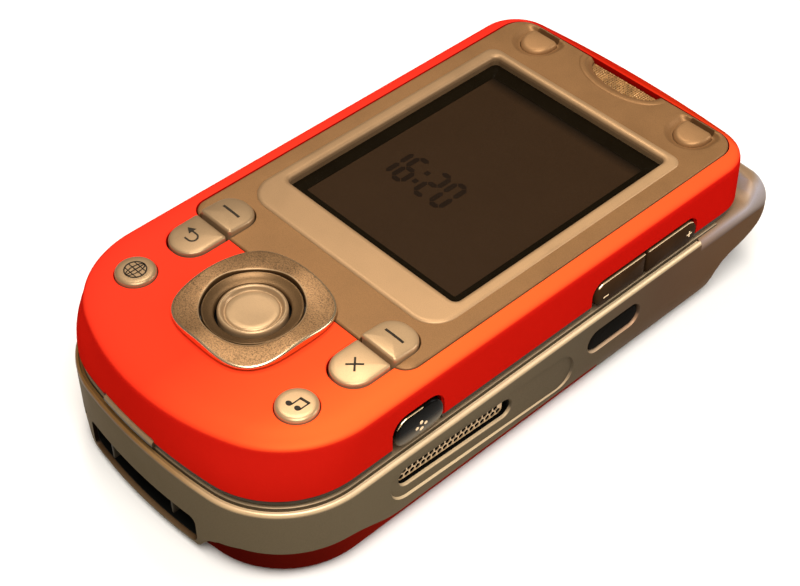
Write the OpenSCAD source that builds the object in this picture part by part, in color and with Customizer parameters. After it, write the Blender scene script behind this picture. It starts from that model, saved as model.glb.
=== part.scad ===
/* [Base] */
// Width of the lower half across its side walls
base_w = 46.5; // [46.3:0.1:46.9]
// Length of the lower half, end to end
base_l = 93; // [92.6:0.1:93.4]
// Wall thickness of the lower housing
base_wall = 1.4; // [1.2:0.1:1.5]
// Height of the keypad deck above the table
deck_z = 12.9; // [12.85:0.01:12.95]

/* [Flip] */
// Width of the swivelling upper half
flip_w = 45.2; // [45:0.1:45.3]
// Height of the flat top of the upper half above the table
flip_top = 22.2; // [22.1:0.05:22.3]
// Wall thickness of the upper shell
flip_wall = 1.3; // [1.2:0.1:1.4]
// Underside of the upper half above the table
flip_bottom = 13.4; // [13.38:0.01:13.45]

/* [Swivel] */
// Distance of the swivel axis from the middle of the phone
pivot_y = -28.1; // [-28.3:0.1:-27.9]
// Outside radius of the hollow swivel shaft
shaft_r = 4; // [3.9:0.05:4.05]
// Radial running clearance of the shaft in its bush
shaft_gap = 0.05; // [0.02:0.01:0.08]

/* [Keys] */
// Gap between a key and the edge of its opening
key_gap = 0.15; // [0.12:0.01:0.2]
// Width of one number key
num_w = 10.8; // [10:0.1:11]
// Depth of one number key
num_d = 8; // [7.6:0.1:8.2]
// Distance between number key columns
num_px = 12.7; // [12.6:0.1:12.8]
// Distance between number key rows
num_py = 10; // [9.6:0.1:10.2]
// Y position of the number row nearest the swivel
num_y0 = -1.5; // [-2:0.1:-1]

/* [Display] */
// Width of the display window
win_w = 31.3; // [31:0.1:31.5]
// Lower edge of the display window
win_y0 = -9.4; // [-9.6:0.1:-9.2]
// Upper edge of the display window
win_y1 = 29.3; // [29:0.1:29.5]

/* [Hidden] */
$fn = 96;

orange = [0.93, 0.27, 0.1];
grey = [0.5, 0.46, 0.4];
dark_grey = [0.3, 0.28, 0.25];
silver = [0.72, 0.66, 0.58];
bright = [0.85, 0.8, 0.74];
black = [0.07, 0.07, 0.07];
steel = [0.62, 0.62, 0.64];
green = [0.1, 0.35, 0.2];
rubber = [0.8, 0.8, 0.78];

big = 200;
eps = 0.01;
base_y1 = base_l / 2;
base_y0 = -base_l / 2;
wall_top = deck_z - 0.55;     // top of the housing walls, under the rim
mid_lo = 6.0;                 // floor between battery and board
mid_hi = 6.8;
cover_y = 10.1;               // front edge of the rear cover
cover_z = 2.75;               // seam between rear cover and side wall
ear_z = 5.35;                 // seam at the two rounded corners
ear_y = -27;
step_y = 32.6;                // where the thick part of the base ends
nose_y = 41.75;               // where the deck ends and the nose begins
nose_r = 71.4;                // inner edge of the nose's rise, from the swivel axis
con_x0 = -13.2;               // block around the system connector
con_x1 = 9.8;
con_y = -40.4;
flip_y0 = base_y0 + 0.55;
flip_y1 = 41.4;
plate_top = flip_bottom + 0.75;
cap_lo = flip_top - 1.3;      // underside of the flip's top wall
key_x = 15.2;
soft_y0 = -21.75;
soft_y1 = -16.3;
low_y0 = -28.4;
low_y1 = -22.35;
round_y = -34.2;
round_r = 2.65;
game_x = 14.2;
vol_y0 = 8.6;
vol_y1 = 28.0;
cam_y0 = -25.9;
cam_y1 = -18.2;
boss_x = 19.85;
boss_ys = [-8, 31];
base_boss = [[20.4, -31], [20.4, 3.5]];
eye_y = 21;                   // camera position on the back

// Points of a rounded end with a slight crown: half width a, rise b, corner
// radius r, n steps in each corner and m steps along the crown
function end_pts(a, b, r, n, m) =
    let (R = ((a - r) * (a - r) + b * b - r * r) / (2 * (b - r)), phi = atan2(R - b, a - r))
    concat(
        [for (i = [0 : n]) [a - r + r * cos(phi * i / n), r * sin(phi * i / n)]],
        [for (i = [1 : m - 1]) let (t = phi + (180 - 2 * phi) * i / m) [R * cos(t), b - R + R * sin(t)]],
        [for (i = [n : -1 : 0]) [-(a - r + r * cos(phi * i / n)), r * sin(phi * i / n)]]);

module outline(a, y0, b0, r0, y1, b1, r1) polygon(concat(
    [for (p = end_pts(a, b1, r1, 7, 6)) [p[0], y1 - b1 + p[1]]],
    [for (p = end_pts(a, b0, r0, 12, 10)) [-p[0], y0 + b0 - p[1]]]));

module base_o(d) outline(base_w / 2 - d, base_y0 + d, 14.2 - d, 13.5 - d, base_y1 - d, 4.6 - d, 3.9 - d);
// The flip's wall leans in towards the top at the swivel end: plan at its foot,
// half way up and under the top edge
module flip_o(d) outline(flip_w / 2 - d, flip_y0 + d, 13.6 - d, 12.8 - d, flip_y1 - d, 6.8 - d, 6 - d);
module flip_mid_o(d) outline(flip_w / 2 - 0.03 - d, flip_y0 + 0.1 + d, 14.6 - d, 13.4 - d, flip_y1 - 0.03 - d, 6.8 - d, 6 - d);
module flip_top_o(d) outline(flip_w / 2 - 0.06 - d, flip_y0 + 0.2 + d, 15.7 - d, 14 - d, flip_y1 - 0.06 - d, 6.8 - d, 6 - d);

// Rectangle with round corners between two corners
module rrect(x0, y0, x1, y1, r) {
    translate([x0 + r, y0]) square([x1 - x0 - 2 * r, y1 - y0]);
    translate([x0, y0 + r]) square([x1 - x0, y1 - y0 - 2 * r]);
    for (x = [x0 + r, x1 - r], y = [y0 + r, y1 - r]) translate([x, y]) circle(r, $fn = 48);
}

// Extrude between two heights
module slab(z0, z1) translate([0, 0, z0]) linear_extrude(z1 - z0) children();

module box(x0, y0, z0, x1, y1, z1) translate([x0, y0, z0]) cube([x1 - x0, y1 - y0, z1 - z0]);

module tube(ro, ri, z0, z1) translate([0, 0, z0]) difference() {
    cylinder(r = ro, h = z1 - z0);
    translate([0, 0, -1]) cylinder(r = ri, h = z1 - z0 + 2);
}

module at_pivot() translate([0, pivot_y, 0]) children();

// Plan of the part of the base behind or in front of a line
module base_cut(d, y_lo, y_hi) intersection() {
    base_o(d);
    translate([-big / 2, y_lo]) square([big, y_hi - y_lo]);
}

// ---------------------------------------------------------------- base

// Plan of the speaker slot in the side wall, slightly tilted, drawn in by d
module slot_o(d) translate([-15.95, 7.94]) rotate(-2.75) rrect(-9.65 + d, -1.5 + d, 9.65 - d, 1.5 - d, 1.45 - d);

module base_housing() color(grey) {
    difference() {
        union() {
            slab(2.3, wall_top) base_o(0);
            slab(1.2, 2.4) base_o(0.6);
            slab(0.5, 1.3) base_cut(1.3, -big, step_y - 0.3);
            slab(0, 0.6) base_cut(2.2, -big, step_y - 0.9);
            // rounded top of the nose that stands out past the flip
            slab(12.2, 12.7) base_cut(0.6, nose_y, big);
            slab(12.6, 13.0) base_cut(1.3, nose_y, big);
            slab(12.9, 13.2) base_cut(2.4, nose_y, big);
            // it rises behind the flip, outside the circle that the flip's corners sweep
            difference() {
                union() {
                    slab(13.1, 13.9) base_cut(1.7, nose_y, big);
                    slab(13.8, 14.6) base_cut(2.3, nose_y, big);
                }
                at_pivot() translate([0, 0, 12]) cylinder(r = nose_r, h = 4);
            }
            // full lower lip around the connector
            intersection() {
                slab(1.5, 2.4) base_cut(0.05, -big, con_y);
                box(con_x0, -big / 2, 1, con_x1, con_y, 3);
            }
        }
        // stepped underside of the nose
        box(-big / 2, step_y, -1, big / 2, big, 6.5);
        box(-big / 2, base_y1 - 3.9, 0, big / 2, big, 8.2);
        box(-big / 2, base_y1 - 2.7, 0, big / 2, big, 9.4);
        box(-big / 2, base_y1 - 1.5, 0, big / 2, big, 10.4);
        // board space and nose space
        slab(mid_hi, wall_top + 1) base_cut(base_wall, -big, nose_y - 0.5);
        slab(7.9, 11.6) base_cut(1.9, step_y - 1, nose_y + 0.15);
        // battery space, open at the back
        slab(-1, mid_lo) base_cut(base_wall + 0.02, con_y, 9.4);
        // camera space
        slab(1.3, mid_lo) base_cut(base_wall + 0.02, 10.8, step_y - 1.6);
        // room for the rear cover
        box(-big / 2, -big / 2, -1, big / 2, cover_y + 0.05, 1.5);
        box(-big / 2, con_y, 1.4, big / 2, cover_y + 0.05, cover_z + 0.05);
        for (s = [[-big / 2, con_x0 - 0.1], [con_x1 + 0.1, big / 2]]) {
            box(s[0], -big / 2, 1.3, s[1], con_y + 0.1, cover_z + 0.05);
            box(s[0], -big / 2, cover_z - 0.1, s[1], ear_y, ear_z + 0.05);
        }
        // system connector pocket
        box(-12.4, -60, 2.05, 9.0, con_y - 0.6, 6.35);
        // speaker slots and the shallow recess around them
        for (s = [0, 1]) mirror([s, 0, 0]) {
            translate([21, 0, 0]) rotate([90, 0, 90]) linear_extrude(4) slot_o(0);
            translate([base_w / 2 - 0.3, 0, 0]) rotate([90, 0, 90]) linear_extrude(4) translate([-11.2, 7.6]) rotate(-2.75) rrect(-16.2, -3.1, 16.2, 3.1, 2.6);
        }
        // infrared window opening
        translate([21, 0, 0]) rotate([90, 0, 90]) linear_extrude(4) rrect(7.45, 6.3, 17.35, 10.0, 1.8);
        // camera and light openings
        translate([0, eye_y, -1]) cylinder(r = 5.1, h = 4);
        translate([-11, eye_y, -1]) cylinder(r = 1.95, h = 4);
        // screw holes through the middle floor
        for (p = base_boss, s = [-1, 1]) translate([s * p[0], p[1], mid_lo - 1]) cylinder(r = 0.7, h = 3);
    }
    // floor of the nose
    slab(6.7, 7.7) base_cut(0.7, step_y - 0.8, base_y1 - 4.1);
}

module key_hole(x, y, g) translate([x, y]) rrect(-num_w / 2 - g, -num_d / 2 - g, num_w / 2 + g, num_d / 2 + g, 2.6 + g);

module base_fascia() color(bright) difference() {
    union() {
        slab(wall_top + 0.05, deck_z - 0.2) base_cut(0.05, -big, nose_y - 0.1);
        slab(deck_z - 0.25, deck_z) base_cut(0.5, -big, nose_y - 0.1);
        slab(11.7, wall_top + 0.1) base_cut(base_wall + 0.1, -big, nose_y - 0.7);
        for (p = base_boss, s = [-1, 1]) translate([s * p[0], p[1], mid_hi + 0.1]) cylinder(r = 1.3, h = 5);
    }
    for (i = [-1 : 1], j = [0 : 3]) slab(11, deck_z + 1) key_hole(i * num_px, num_y0 + j * num_py, key_gap);
    at_pivot() translate([0, 0, 11]) cylinder(r = shaft_r + 0.75, h = 3);
    for (p = base_boss, s = [-1, 1]) translate([s * p[0], p[1], mid_hi - 1]) cylinder(r = 0.65, h = 5.4);
}

// Number key: column and row counted from the swivel side
module number_key(c, r) color(bright) translate([c * num_px, num_y0 + r * num_py, 0]) {
    slab(9.4, 12.8) rrect(-num_w / 2, -num_d / 2, num_w / 2, num_d / 2, 2.6);
    slab(12.7, 13.15) rrect(-num_w / 2 + 0.5, -num_d / 2 + 0.5, num_w / 2 - 0.5, num_d / 2 - 0.5, 2.1);
    slab(10.6, 11.3) rrect(-num_w / 2 - 0.4, -num_d / 2 - 0.4, num_w / 2 + 0.4, num_d / 2 + 0.4, 2.8);
}
module key_1() number_key(1, 0);
module key_2() number_key(0, 0);
module key_3() number_key(-1, 0);
module key_4() number_key(1, 1);
module key_5() number_key(0, 1);
module key_6() number_key(-1, 1);
module key_7() number_key(1, 2);
module key_8() number_key(0, 2);
module key_9() number_key(-1, 2);
module key_star() number_key(1, 3);
module key_0() number_key(0, 3);
module key_hash() number_key(-1, 3);

module keypad_membrane() color(rubber) {
    slab(8.2, 8.6) rrect(-18.4, -7, 18.4, 34.2, 1);
    for (i = [-1 : 1], j = [0 : 3]) translate([i * num_px, num_y0 + j * num_py, 8.5]) cylinder(r = 2, h = 0.4);
}

module main_board() color(green) slab(7.0, 7.8) {
    translate([-18.6, -7]) square([37.2, 38]);
    translate([-13.6, -43]) square([27.2, 37]);
}

module battery() color(dark_grey) slab(1.45, 5.0) rrect(-17, -34, 17, 8, 1.5);

module rear_cover() color(orange) difference() {
    union() {
        slab(0, 0.6) base_cut(2.2, -big, cover_y);
        slab(0.5, 1.3) base_cut(1.3, -big, cover_y);
        slab(1.2, 2.4) base_cut(0.6, -big, cover_y);
        slab(2.3, cover_z) base_cut(0.05, -big, cover_y);
        slab(cover_z - 0.1, ear_z) base_cut(0.05, -big, ear_y - 0.1);
    }
    slab(1.2, 9) base_cut(base_wall, -big, big);
    box(con_x0 - 0.3, -big / 2, 1.3, con_x1 + 0.3, con_y + 0.3, 9);
}

module camera_module() color(black) translate([0, eye_y, 0]) {
    translate([-4.6, -4.6, 3.2]) cube([9.2, 9.2, 2.7]);
    translate([0, 0, 1.5]) cylinder(r = 3.3, h = 1.8);
}

module camera_lens() color([0.1, 0.12, 0.2]) translate([0, eye_y, 0.45]) cylinder(r = 3.5, h = 0.8);

module camera_trim() color(bright) translate([0, eye_y, 0]) {
    tube(5.0, 3.6, 0.1, 1.25);
    tube(4.4, 3.0, 0.05, 0.4);
}

module photo_light() color([0.95, 0.95, 0.9]) translate([-11, eye_y, 0]) {
    translate([0, 0, 0.2]) cylinder(r = 1.85, h = 1.2);
    translate([0, 0, 1.35]) cylinder(r = 2.4, h = 1.2);
}

module system_connector() color(black) difference() {
    union() {
        difference() {
            box(-12.3, -45.2, 2.15, 8.9, con_y - 0.7, 6.25);
            box(-11.7, -46, 2.75, 8.3, -42.8, 5.7);
        }
        box(-9.6, -44.9, 4.0, 5.4, -42.7, 4.7);
    }
    for (i = [0 : 4]) box(-8.4 + i * 2.9, -45, 4.6, -7.4 + i * 2.9, -43.2, 5.0);
}

module speakers() color(black) for (s = [0, 1]) mirror([s, 0, 0]) {
    box(15.2, -25.2, 7.0, 20.2, -7.8, 10.4);
    translate([20.1, 0, 0]) rotate([90, 0, 90]) linear_extrude(1) rrect(-24.6, 7.4, -8.4, 10.0, 1.2);
}

module speaker_grilles() color(silver) for (s = [0, 1]) mirror([s, 0, 0]) difference() {
    translate([21.9, 0, 0]) rotate([90, 0, 90]) linear_extrude(0.5) slot_o(0.1);
    for (i = [0 : 15], j = [0, 1]) translate([21, -24.0 + i * 1.0 + j * 0.5, 8.55 - i * 0.048 + j * 0.75]) rotate([0, 90, 0]) cylinder(r = 0.36, h = 3, $fn = 6);
}

module infrared_window() color(black) translate([21.95, 0, 0]) rotate([90, 0, 90]) linear_extrude(0.9) rrect(7.6, 6.45, 17.2, 9.85, 1.65);

module antenna() color(dark_grey) {
    box(-15, 36, 8.2, 15, 41.2, 9.2);
    box(-14, 37, 9.1, 14, 41.6, 11.2);
}

module vibration_motor() color(steel) difference() {
    union() {
        translate([8.6, -38, 9.75]) rotate([0, 90, 0]) cylinder(r = 1.7, h = 5.4);
        box(9, -39.2, 7.85, 13.6, -36.8, 8.9);
    }
    translate([8, -38, 9.75]) rotate([0, 90, 0]) cylinder(r = 0.45, h = 7);
}

module vibration_weight() color(steel) {
    translate([10, -38, 9.75]) rotate([0, 90, 0]) cylinder(r = 0.4, h = 7.4);
    intersection() {
        translate([14.6, -38, 9.75]) rotate([0, 90, 0]) cylinder(r = 1.6, h = 2.6);
        box(14, -40, 7, 18, -36, 9.9);
    }
}

module sim_holder() color(steel) difference() {
    box(-8, -32, 5.15, 8, -14, 5.95);
    box(-7.6, -33, 5.3, 7.6, -15, 5.8);
}

module base_screws() color(steel) for (p = base_boss, s = [-1, 1]) translate([s * p[0], p[1], 0]) difference() {
    union() {
        translate([0, 0, mid_lo - 0.95]) cylinder(r = 1.2, h = 0.9);
        translate([0, 0, mid_lo - 0.3]) cylinder(r = 0.6, h = 5);
    }
    translate([-0.8, -0.15, 4.9]) cube([1.6, 0.3, 0.5]);
    translate([-0.15, -0.8, 4.9]) cube([0.3, 1.6, 0.5]);
}

// ---------------------------------------------------------------- swivel

module hinge_plate() color(steel) at_pivot() {
    tube(9, shaft_r + 0.75, 10.6, 11.65);
    // stop that the washer's lug meets at either end of the swing
    intersection() {
        tube(7.2, 5.9, 9.5, 10.7);
        slab(9, 11) polygon([[0, 0], [big * cos(194.6), big * sin(194.6)], [0, -big], [big * cos(345.4), big * sin(345.4)]]);
    }
}

module hinge_bush() color(black) at_pivot() {
    tube(shaft_r + 0.7, shaft_r + shaft_gap, 10.7, 13.0);
    tube(6.2, shaft_r + shaft_gap, deck_z + 0.03, 13.3);
}

module hinge_spring() color(steel) at_pivot() tube(5.6, shaft_r + 0.2, 10.28, 10.5);

module flex_cable() color([0.75, 0.45, 0.15]) at_pivot() {
    tube(2.3, 1.5, 8.2, 16.4);
}

module hinge_rotor() color(steel) at_pivot() difference() {
    union() {
        translate([0, 0, plate_top + 0.05]) cylinder(r = 7.5, h = 0.8);
        translate([0, 0, 10.25]) cylinder(r = shaft_r, h = 4.2);
        translate([0, 0, 8.9]) cylinder(r = 3.4, h = 1.5);
        translate([0, 0, 8.9]) cylinder(r = 3.9, h = 0.55);
    }
    translate([0, 0, 8]) cylinder(r = 2.8, h = 8);
}

module hinge_clip() color(steel) at_pivot() difference() {
    union() {
        translate([0, 0, 9.55]) cylinder(r = 5.5, h = 0.65);
        intersection() {
            translate([0, 0, 9.55]) cylinder(r = 7.1, h = 0.65);
            slab(9, 11) polygon([[0, 0], [big * cos(-14), big * sin(-14)], [big * cos(14), big * sin(14)]]);
        }
    }
    translate([0, 0, 9]) cylinder(r = 3.45, h = 2);
}

// ---------------------------------------------------------------- flip

module pair_hole(g) for (s = [-1, 1]) translate([s * key_x, 0]) rrect(-3 - g, low_y0 - g, 3 + g, soft_y1 + g, 2.4 + g);
module nav_o(g) translate([0, pivot_y + 0.2]) rrect(-8.8 - g, -8.75 - g, 8.8 + g, 8.75 + g, 5.4 + g);
module game_o(s, g) translate([s * game_x, 0]) rrect(-2.6 - g, 33.1 - g, 2.6 + g, 38.1 + g, 2.2 + g);

module flip_shell() color(orange) difference() {
    union() {
        slab(plate_top + 0.05, 18.2) flip_o(0);
        slab(18.1, 19.8) flip_mid_o(0);
        slab(19.7, flip_top - 0.9) flip_top_o(0);
        slab(flip_top - 1, flip_top - 0.4) flip_top_o(0.2);
        slab(flip_top - 0.5, flip_top) flip_top_o(0.8);
    }
    difference() {
        slab(flip_bottom, cap_lo) flip_top_o(flip_wall);
        // screw bosses on the side walls
        for (y = boss_ys, s = [-1, 1]) translate([s * boss_x, y, 0]) cylinder(r = 1.7, h = 20.1);
    }
    for (y = boss_ys, s = [-1, 1]) translate([s * boss_x, y, 13]) cylinder(r = 0.65, h = 6);
    // bezel opening
    slab(cap_lo - 1, flip_top + 1) rrect(-20.2, -22, 20.2, 39.3, 2);
    slab(cap_lo - 1, flip_top + 1) pair_hole(key_gap);
    slab(cap_lo - 1, flip_top + 1) nav_o(0.3);
    for (s = [-1, 1]) translate([s * key_x, round_y, cap_lo - 1]) cylinder(r = round_r + key_gap, h = 4);
    // side key openings and end tab notch
    translate([18, 0, 0]) rotate([90, 0, 90]) linear_extrude(6) {
        rrect(vol_y0 - 0.35, 10, vol_y1 + 0.35, 17.85, 1.9);
        rrect(cam_y0 - 0.25, 10, cam_y1 + 0.25, 18.75, 2.3);
    }
    box(-7.8, -big / 2, 10, 2.3, -44, 15.05);
}

module flip_bezel() color(silver) difference() {
    union() {
        slab(20.2, cap_lo - 0.05) intersection() {
            flip_top_o(flip_wall + 0.2);
            translate([-20.9, -21.9]) square([41.8, 61.6]);
        }
        slab(20.7, flip_top) rrect(-20.05, -21.85, 20.05, 39.15, 1.9);
        slab(flip_top - 0.1, flip_top + 0.25) rrect(-17.6, -14.9, 17.6, 30.75, 3.2);
    }
    slab(20, flip_top + 1) rrect(-win_w / 2 - 0.1, win_y0 - 0.1, win_w / 2 + 0.1, win_y1 + 0.1, 0.8);
    slab(20, flip_top + 1) pair_hole(key_gap);
    slab(20, flip_top + 1) nav_o(0.3);
    for (s = [-1, 1]) slab(20, flip_top + 1) game_o(s, key_gap);
    slab(20, flip_top + 1) rrect(-6.1, 35.9, 6.1, 38.0, 1);
}

module display_window() color(black) slab(20.15, 21.6) rrect(-win_w / 2, win_y0, win_w / 2, win_y1, 0.7);

module lcd_panel() color(dark_grey) slab(17.9, 20.1) rrect(-17, -13, 17, 31.5, 0.6);

module flip_board() color(green) slab(17.0, 17.8) intersection() {
    flip_top_o(2.6);
    translate([-17.4, -big / 2]) square([34.8, big]);
}

module flip_keymat() color(rubber) {
    slab(17.85, 18.25) intersection() {
        flip_top_o(2.8);
        translate([-17.3, -40]) square([34.6, 25]);
    }
    for (s = [-1, 1]) slab(17.85, 18.25) rrect(s * game_x - 2.6, 33.2, s * game_x + 2.6, 37.6, 0.5);
}

module flip_back_plate() color(dark_grey) difference() {
    union() {
        slab(flip_bottom, plate_top) flip_o(0.25);
        intersection() {
            slab(flip_bottom, 14.9) flip_o(0.1);
            box(-7.6, -big / 2, flip_bottom, 2.1, -44.3, 14.9);
        }
    }
    at_pivot() translate([0, 0, 10]) cylinder(r = shaft_r + 0.05, h = 9);
    for (y = boss_ys, s = [-1, 1]) translate([s * boss_x, y, 10]) {
        cylinder(r = 1.4, h = 3.85);
        cylinder(r = 0.7, h = 9);
    }
    box(20.3, vol_y0 - 0.35, 10, big, vol_y1 + 0.35, 19);
    box(20.3, cam_y0 - 0.25, 10, big, cam_y1 + 0.25, 19);
}

module receiver() color(black) slab(17.85, 20.1) rrect(-5.6, 32.6, 5.6, 38.2, 2);

module receiver_mesh() color(dark_grey) difference() {
    slab(20.9, 21.3) rrect(-6.0, 36.0, 6.0, 37.9, 0.9);
    for (i = [-5 : 5], j = [0, 1]) translate([i * 1.0 + j * 0.4, 36.6 + j * 0.75, 20]) cylinder(r = 0.27, h = 3, $fn = 6);
}

module nav_carrier() color(rubber) at_pivot() tube(7.8, 5.3, 19.5, 20.7);

module nav_ring() color(silver) difference() {
    union() {
        slab(21.3, 23.2) nav_o(0);
        at_pivot() tube(7.4, 6, 23.1, 23.55);
        // the middle of each side stands up to the thumb
        slab(23.1, 23.6) difference() {
            intersection() {
                nav_o(-0.3);
                at_nav_cross();
            }
            translate([0, pivot_y]) circle(r = 6.8);
        }
    }
    at_pivot() translate([0, 0, 20]) cylinder(r = 5.0, h = 5);
    at_pivot() translate([0, 0, 22.9]) cylinder(r = 6.3, h = 5);
}
module at_nav_cross() translate([0, pivot_y]) {
    translate([-big / 2, -2.6]) square([big, 5.2]);
    translate([-2.6, -big / 2]) square([5.2, big]);
}

module centre_button() color(bright) at_pivot() difference() {
    union() {
        translate([0, 0, 18.7]) cylinder(r = 2, h = 1.5);
        translate([0, 0, 19.4]) cylinder(r = 4.9, h = 0.8);
        translate([0, 0, 19.8]) cylinder(r = 4.5, h = 3.2);
    }
    translate([0, 0, 22.7]) cylinder(r = 3.2, h = 2);
}

// Key that presses down: plan given by its corners, top height and end radius
module top_key(x0, y0, x1, y1, r, top) {
    slab(18.75, top - 0.3) rrect(x0, y0, x1, y1, r);
    slab(top - 0.35, top) rrect(x0 + 0.3, y0 + 0.3, x1 - 0.3, y1 - 0.3, r - 0.25);
    box(x0 - 0.5, y0 + r, 19.2, x1 + 0.5, y1 - r, 19.9);
}
module soft_key(s) color(bright) top_key(s * key_x - 3, soft_y0, s * key_x + 3, soft_y1, 2.2, 23.2);
module soft_key_left() soft_key(-1);
module soft_key_right() soft_key(1);
module low_key(s) color(bright) top_key(s * key_x - 3, low_y0, s * key_x + 3, low_y1, 2.2, 22.75);
module back_key() low_key(-1);
module clear_key() low_key(1);

module round_key(s) color(bright) translate([s * key_x, round_y, 0]) {
    translate([0, 0, 18.75]) cylinder(r = round_r, h = 3.75);
    translate([0, 0, 22.4]) cylinder(r = round_r - 0.3, h = 0.35);
    translate([0, 0, 19.2]) cylinder(r = round_r + 0.5, h = 0.7);
}
module web_key() round_key(-1);
module music_key() round_key(1);

module game_key(s) color(silver) {
    slab(18.75, 22.4) game_o(s, 0);
    box(s * game_x - 3.1, 34.6, 19.2, s * game_x + 3.1, 36.4, 19.9);
}
module game_key_left() game_key(-1);
module game_key_right() game_key(1);

module volume_rocker() color(black) difference() {
    translate([21.3, 0, 0]) rotate([90, 0, 90]) linear_extrude(1.75) rrect(vol_y0, 13.7, vol_y1, 17.5, 1.6);
    box(22.7, 18.1, 13, 24, 18.5, 18);
}

module camera_button() color(black) {
    translate([21.0, 0, 0]) rotate([90, 0, 90]) linear_extrude(1.9) rrect(cam_y0, 13.7, cam_y1, 18.4, 2.0);
    translate([22.8, 0, 0]) rotate([90, 0, 90]) linear_extrude(0.3) rrect(cam_y0 + 0.5, 14.2, cam_y1 - 0.5, 17.9, 1.6);
}

module flip_screws() color(steel) for (y = boss_ys, s = [-1, 1]) translate([s * boss_x, y, 0]) difference() {
    union() {
        translate([0, 0, flip_bottom + 0.05]) cylinder(r = 1.3, h = 0.4);
        translate([0, 0, flip_bottom + 0.1]) cylinder(r = 0.6, h = 5);
    }
    translate([-0.8, -0.15, 13]) cube([1.6, 0.3, 0.6]);
    translate([-0.15, -0.8, 13]) cube([0.3, 1.6, 0.6]);
}

base_housing();
base_fascia();
key_1();
key_2();
key_3();
key_4();
key_5();
key_6();
key_7();
key_8();
key_9();
key_star();
key_0();
key_hash();
keypad_membrane();
main_board();
battery();
rear_cover();
camera_module();
camera_lens();
camera_trim();
photo_light();
system_connector();
speakers();
speaker_grilles();
infrared_window();
antenna();
vibration_motor();
vibration_weight();
sim_holder();
base_screws();
hinge_plate();
hinge_bush();
hinge_spring();
flex_cable();
hinge_rotor();
hinge_clip();
flip_shell();
flip_bezel();
display_window();
lcd_panel();
flip_board();
flip_keymat();
flip_back_plate();
receiver();
receiver_mesh();
nav_carrier();
nav_ring();
centre_button();
soft_key_left();
soft_key_right();
back_key();
clear_key();
web_key();
music_key();
game_key_left();
game_key_right();
volume_rocker();
camera_button();
flip_screws();
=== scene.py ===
import math

import bmesh
import bpy
from mathutils import Matrix, Vector


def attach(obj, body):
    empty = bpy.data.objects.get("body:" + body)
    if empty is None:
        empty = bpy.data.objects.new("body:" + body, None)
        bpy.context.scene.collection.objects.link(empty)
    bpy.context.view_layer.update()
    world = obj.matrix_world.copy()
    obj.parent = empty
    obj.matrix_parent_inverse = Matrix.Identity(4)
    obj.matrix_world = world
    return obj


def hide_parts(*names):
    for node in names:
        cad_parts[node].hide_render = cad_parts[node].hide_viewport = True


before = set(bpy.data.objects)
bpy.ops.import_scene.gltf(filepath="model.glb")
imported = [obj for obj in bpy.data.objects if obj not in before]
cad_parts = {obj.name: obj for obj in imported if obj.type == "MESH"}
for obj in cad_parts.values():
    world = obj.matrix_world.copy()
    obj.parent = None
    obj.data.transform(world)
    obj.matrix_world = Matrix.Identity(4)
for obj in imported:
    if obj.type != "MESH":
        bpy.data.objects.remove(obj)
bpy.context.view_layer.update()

scene = bpy.context.scene

# ---------------------------------------------------------------- camera
# Pinhole camera at the picture's angle; positions below are in millimetres
# and become metres when a piece is finished.
CAM_AT = (120.616, -115.558, 170.191)
CAM_X = (0.68358992, 0.72983892, -0.00632257)
CAM_Y = (0.50784271, -0.48184744, -0.714086)
CAM_Z = (-0.52421427, 0.48493113, -0.70002943)
cam_data = bpy.data.cameras.new("picture_view")
cam = bpy.data.objects.new("picture_view", cam_data)
scene.collection.objects.link(cam)
cam.matrix_world = Matrix((
    (CAM_X[0], -CAM_Y[0], -CAM_Z[0], CAM_AT[0] / 1000),
    (CAM_X[1], -CAM_Y[1], -CAM_Z[1], CAM_AT[1] / 1000),
    (CAM_X[2], -CAM_Y[2], -CAM_Z[2], CAM_AT[2] / 1000),
    (0, 0, 0, 1),
))
cam_data.sensor_fit = "HORIZONTAL"
cam_data.sensor_width = 36
cam_data.lens = 78.31
cam_data.clip_start, cam_data.clip_end = 0.005, 50
scene.camera = cam


# ---------------------------------------------------------------- materials
def shader(name):
    m = bpy.data.materials.new(name)
    m.use_nodes = True
    nt = m.node_tree
    bsdf = nt.nodes["Principled BSDF"]
    coord = nt.nodes.new("ShaderNodeTexCoord")
    return m, nt, bsdf, coord


def noise(nt, coord, scale, detail=2.0, stretch=None, rough=0.5):
    n = nt.nodes.new("ShaderNodeTexNoise")
    n.inputs["Scale"].default_value = scale
    n.inputs["Detail"].default_value = detail
    n.inputs["Roughness"].default_value = rough
    src = coord.outputs["Object"]
    if stretch:
        mp = nt.nodes.new("ShaderNodeMapping")
        mp.inputs["Scale"].default_value = stretch
        nt.links.new(src, mp.inputs["Vector"])
        src = mp.outputs["Vector"]
    nt.links.new(src, n.inputs["Vector"])
    return n


def ramp(nt, fac, stops):
    r = nt.nodes.new("ShaderNodeValToRGB")
    cr = r.color_ramp
    while len(cr.elements) < len(stops):
        cr.elements.new(0.5)
    for e, (p, c) in zip(cr.elements, stops):
        e.position = p
        e.color = (*c, 1)
    nt.links.new(fac, r.inputs["Fac"])
    return r


def shade(c, k):
    return tuple(min(1.0, max(0.0, v * k)) for v in c)


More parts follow.
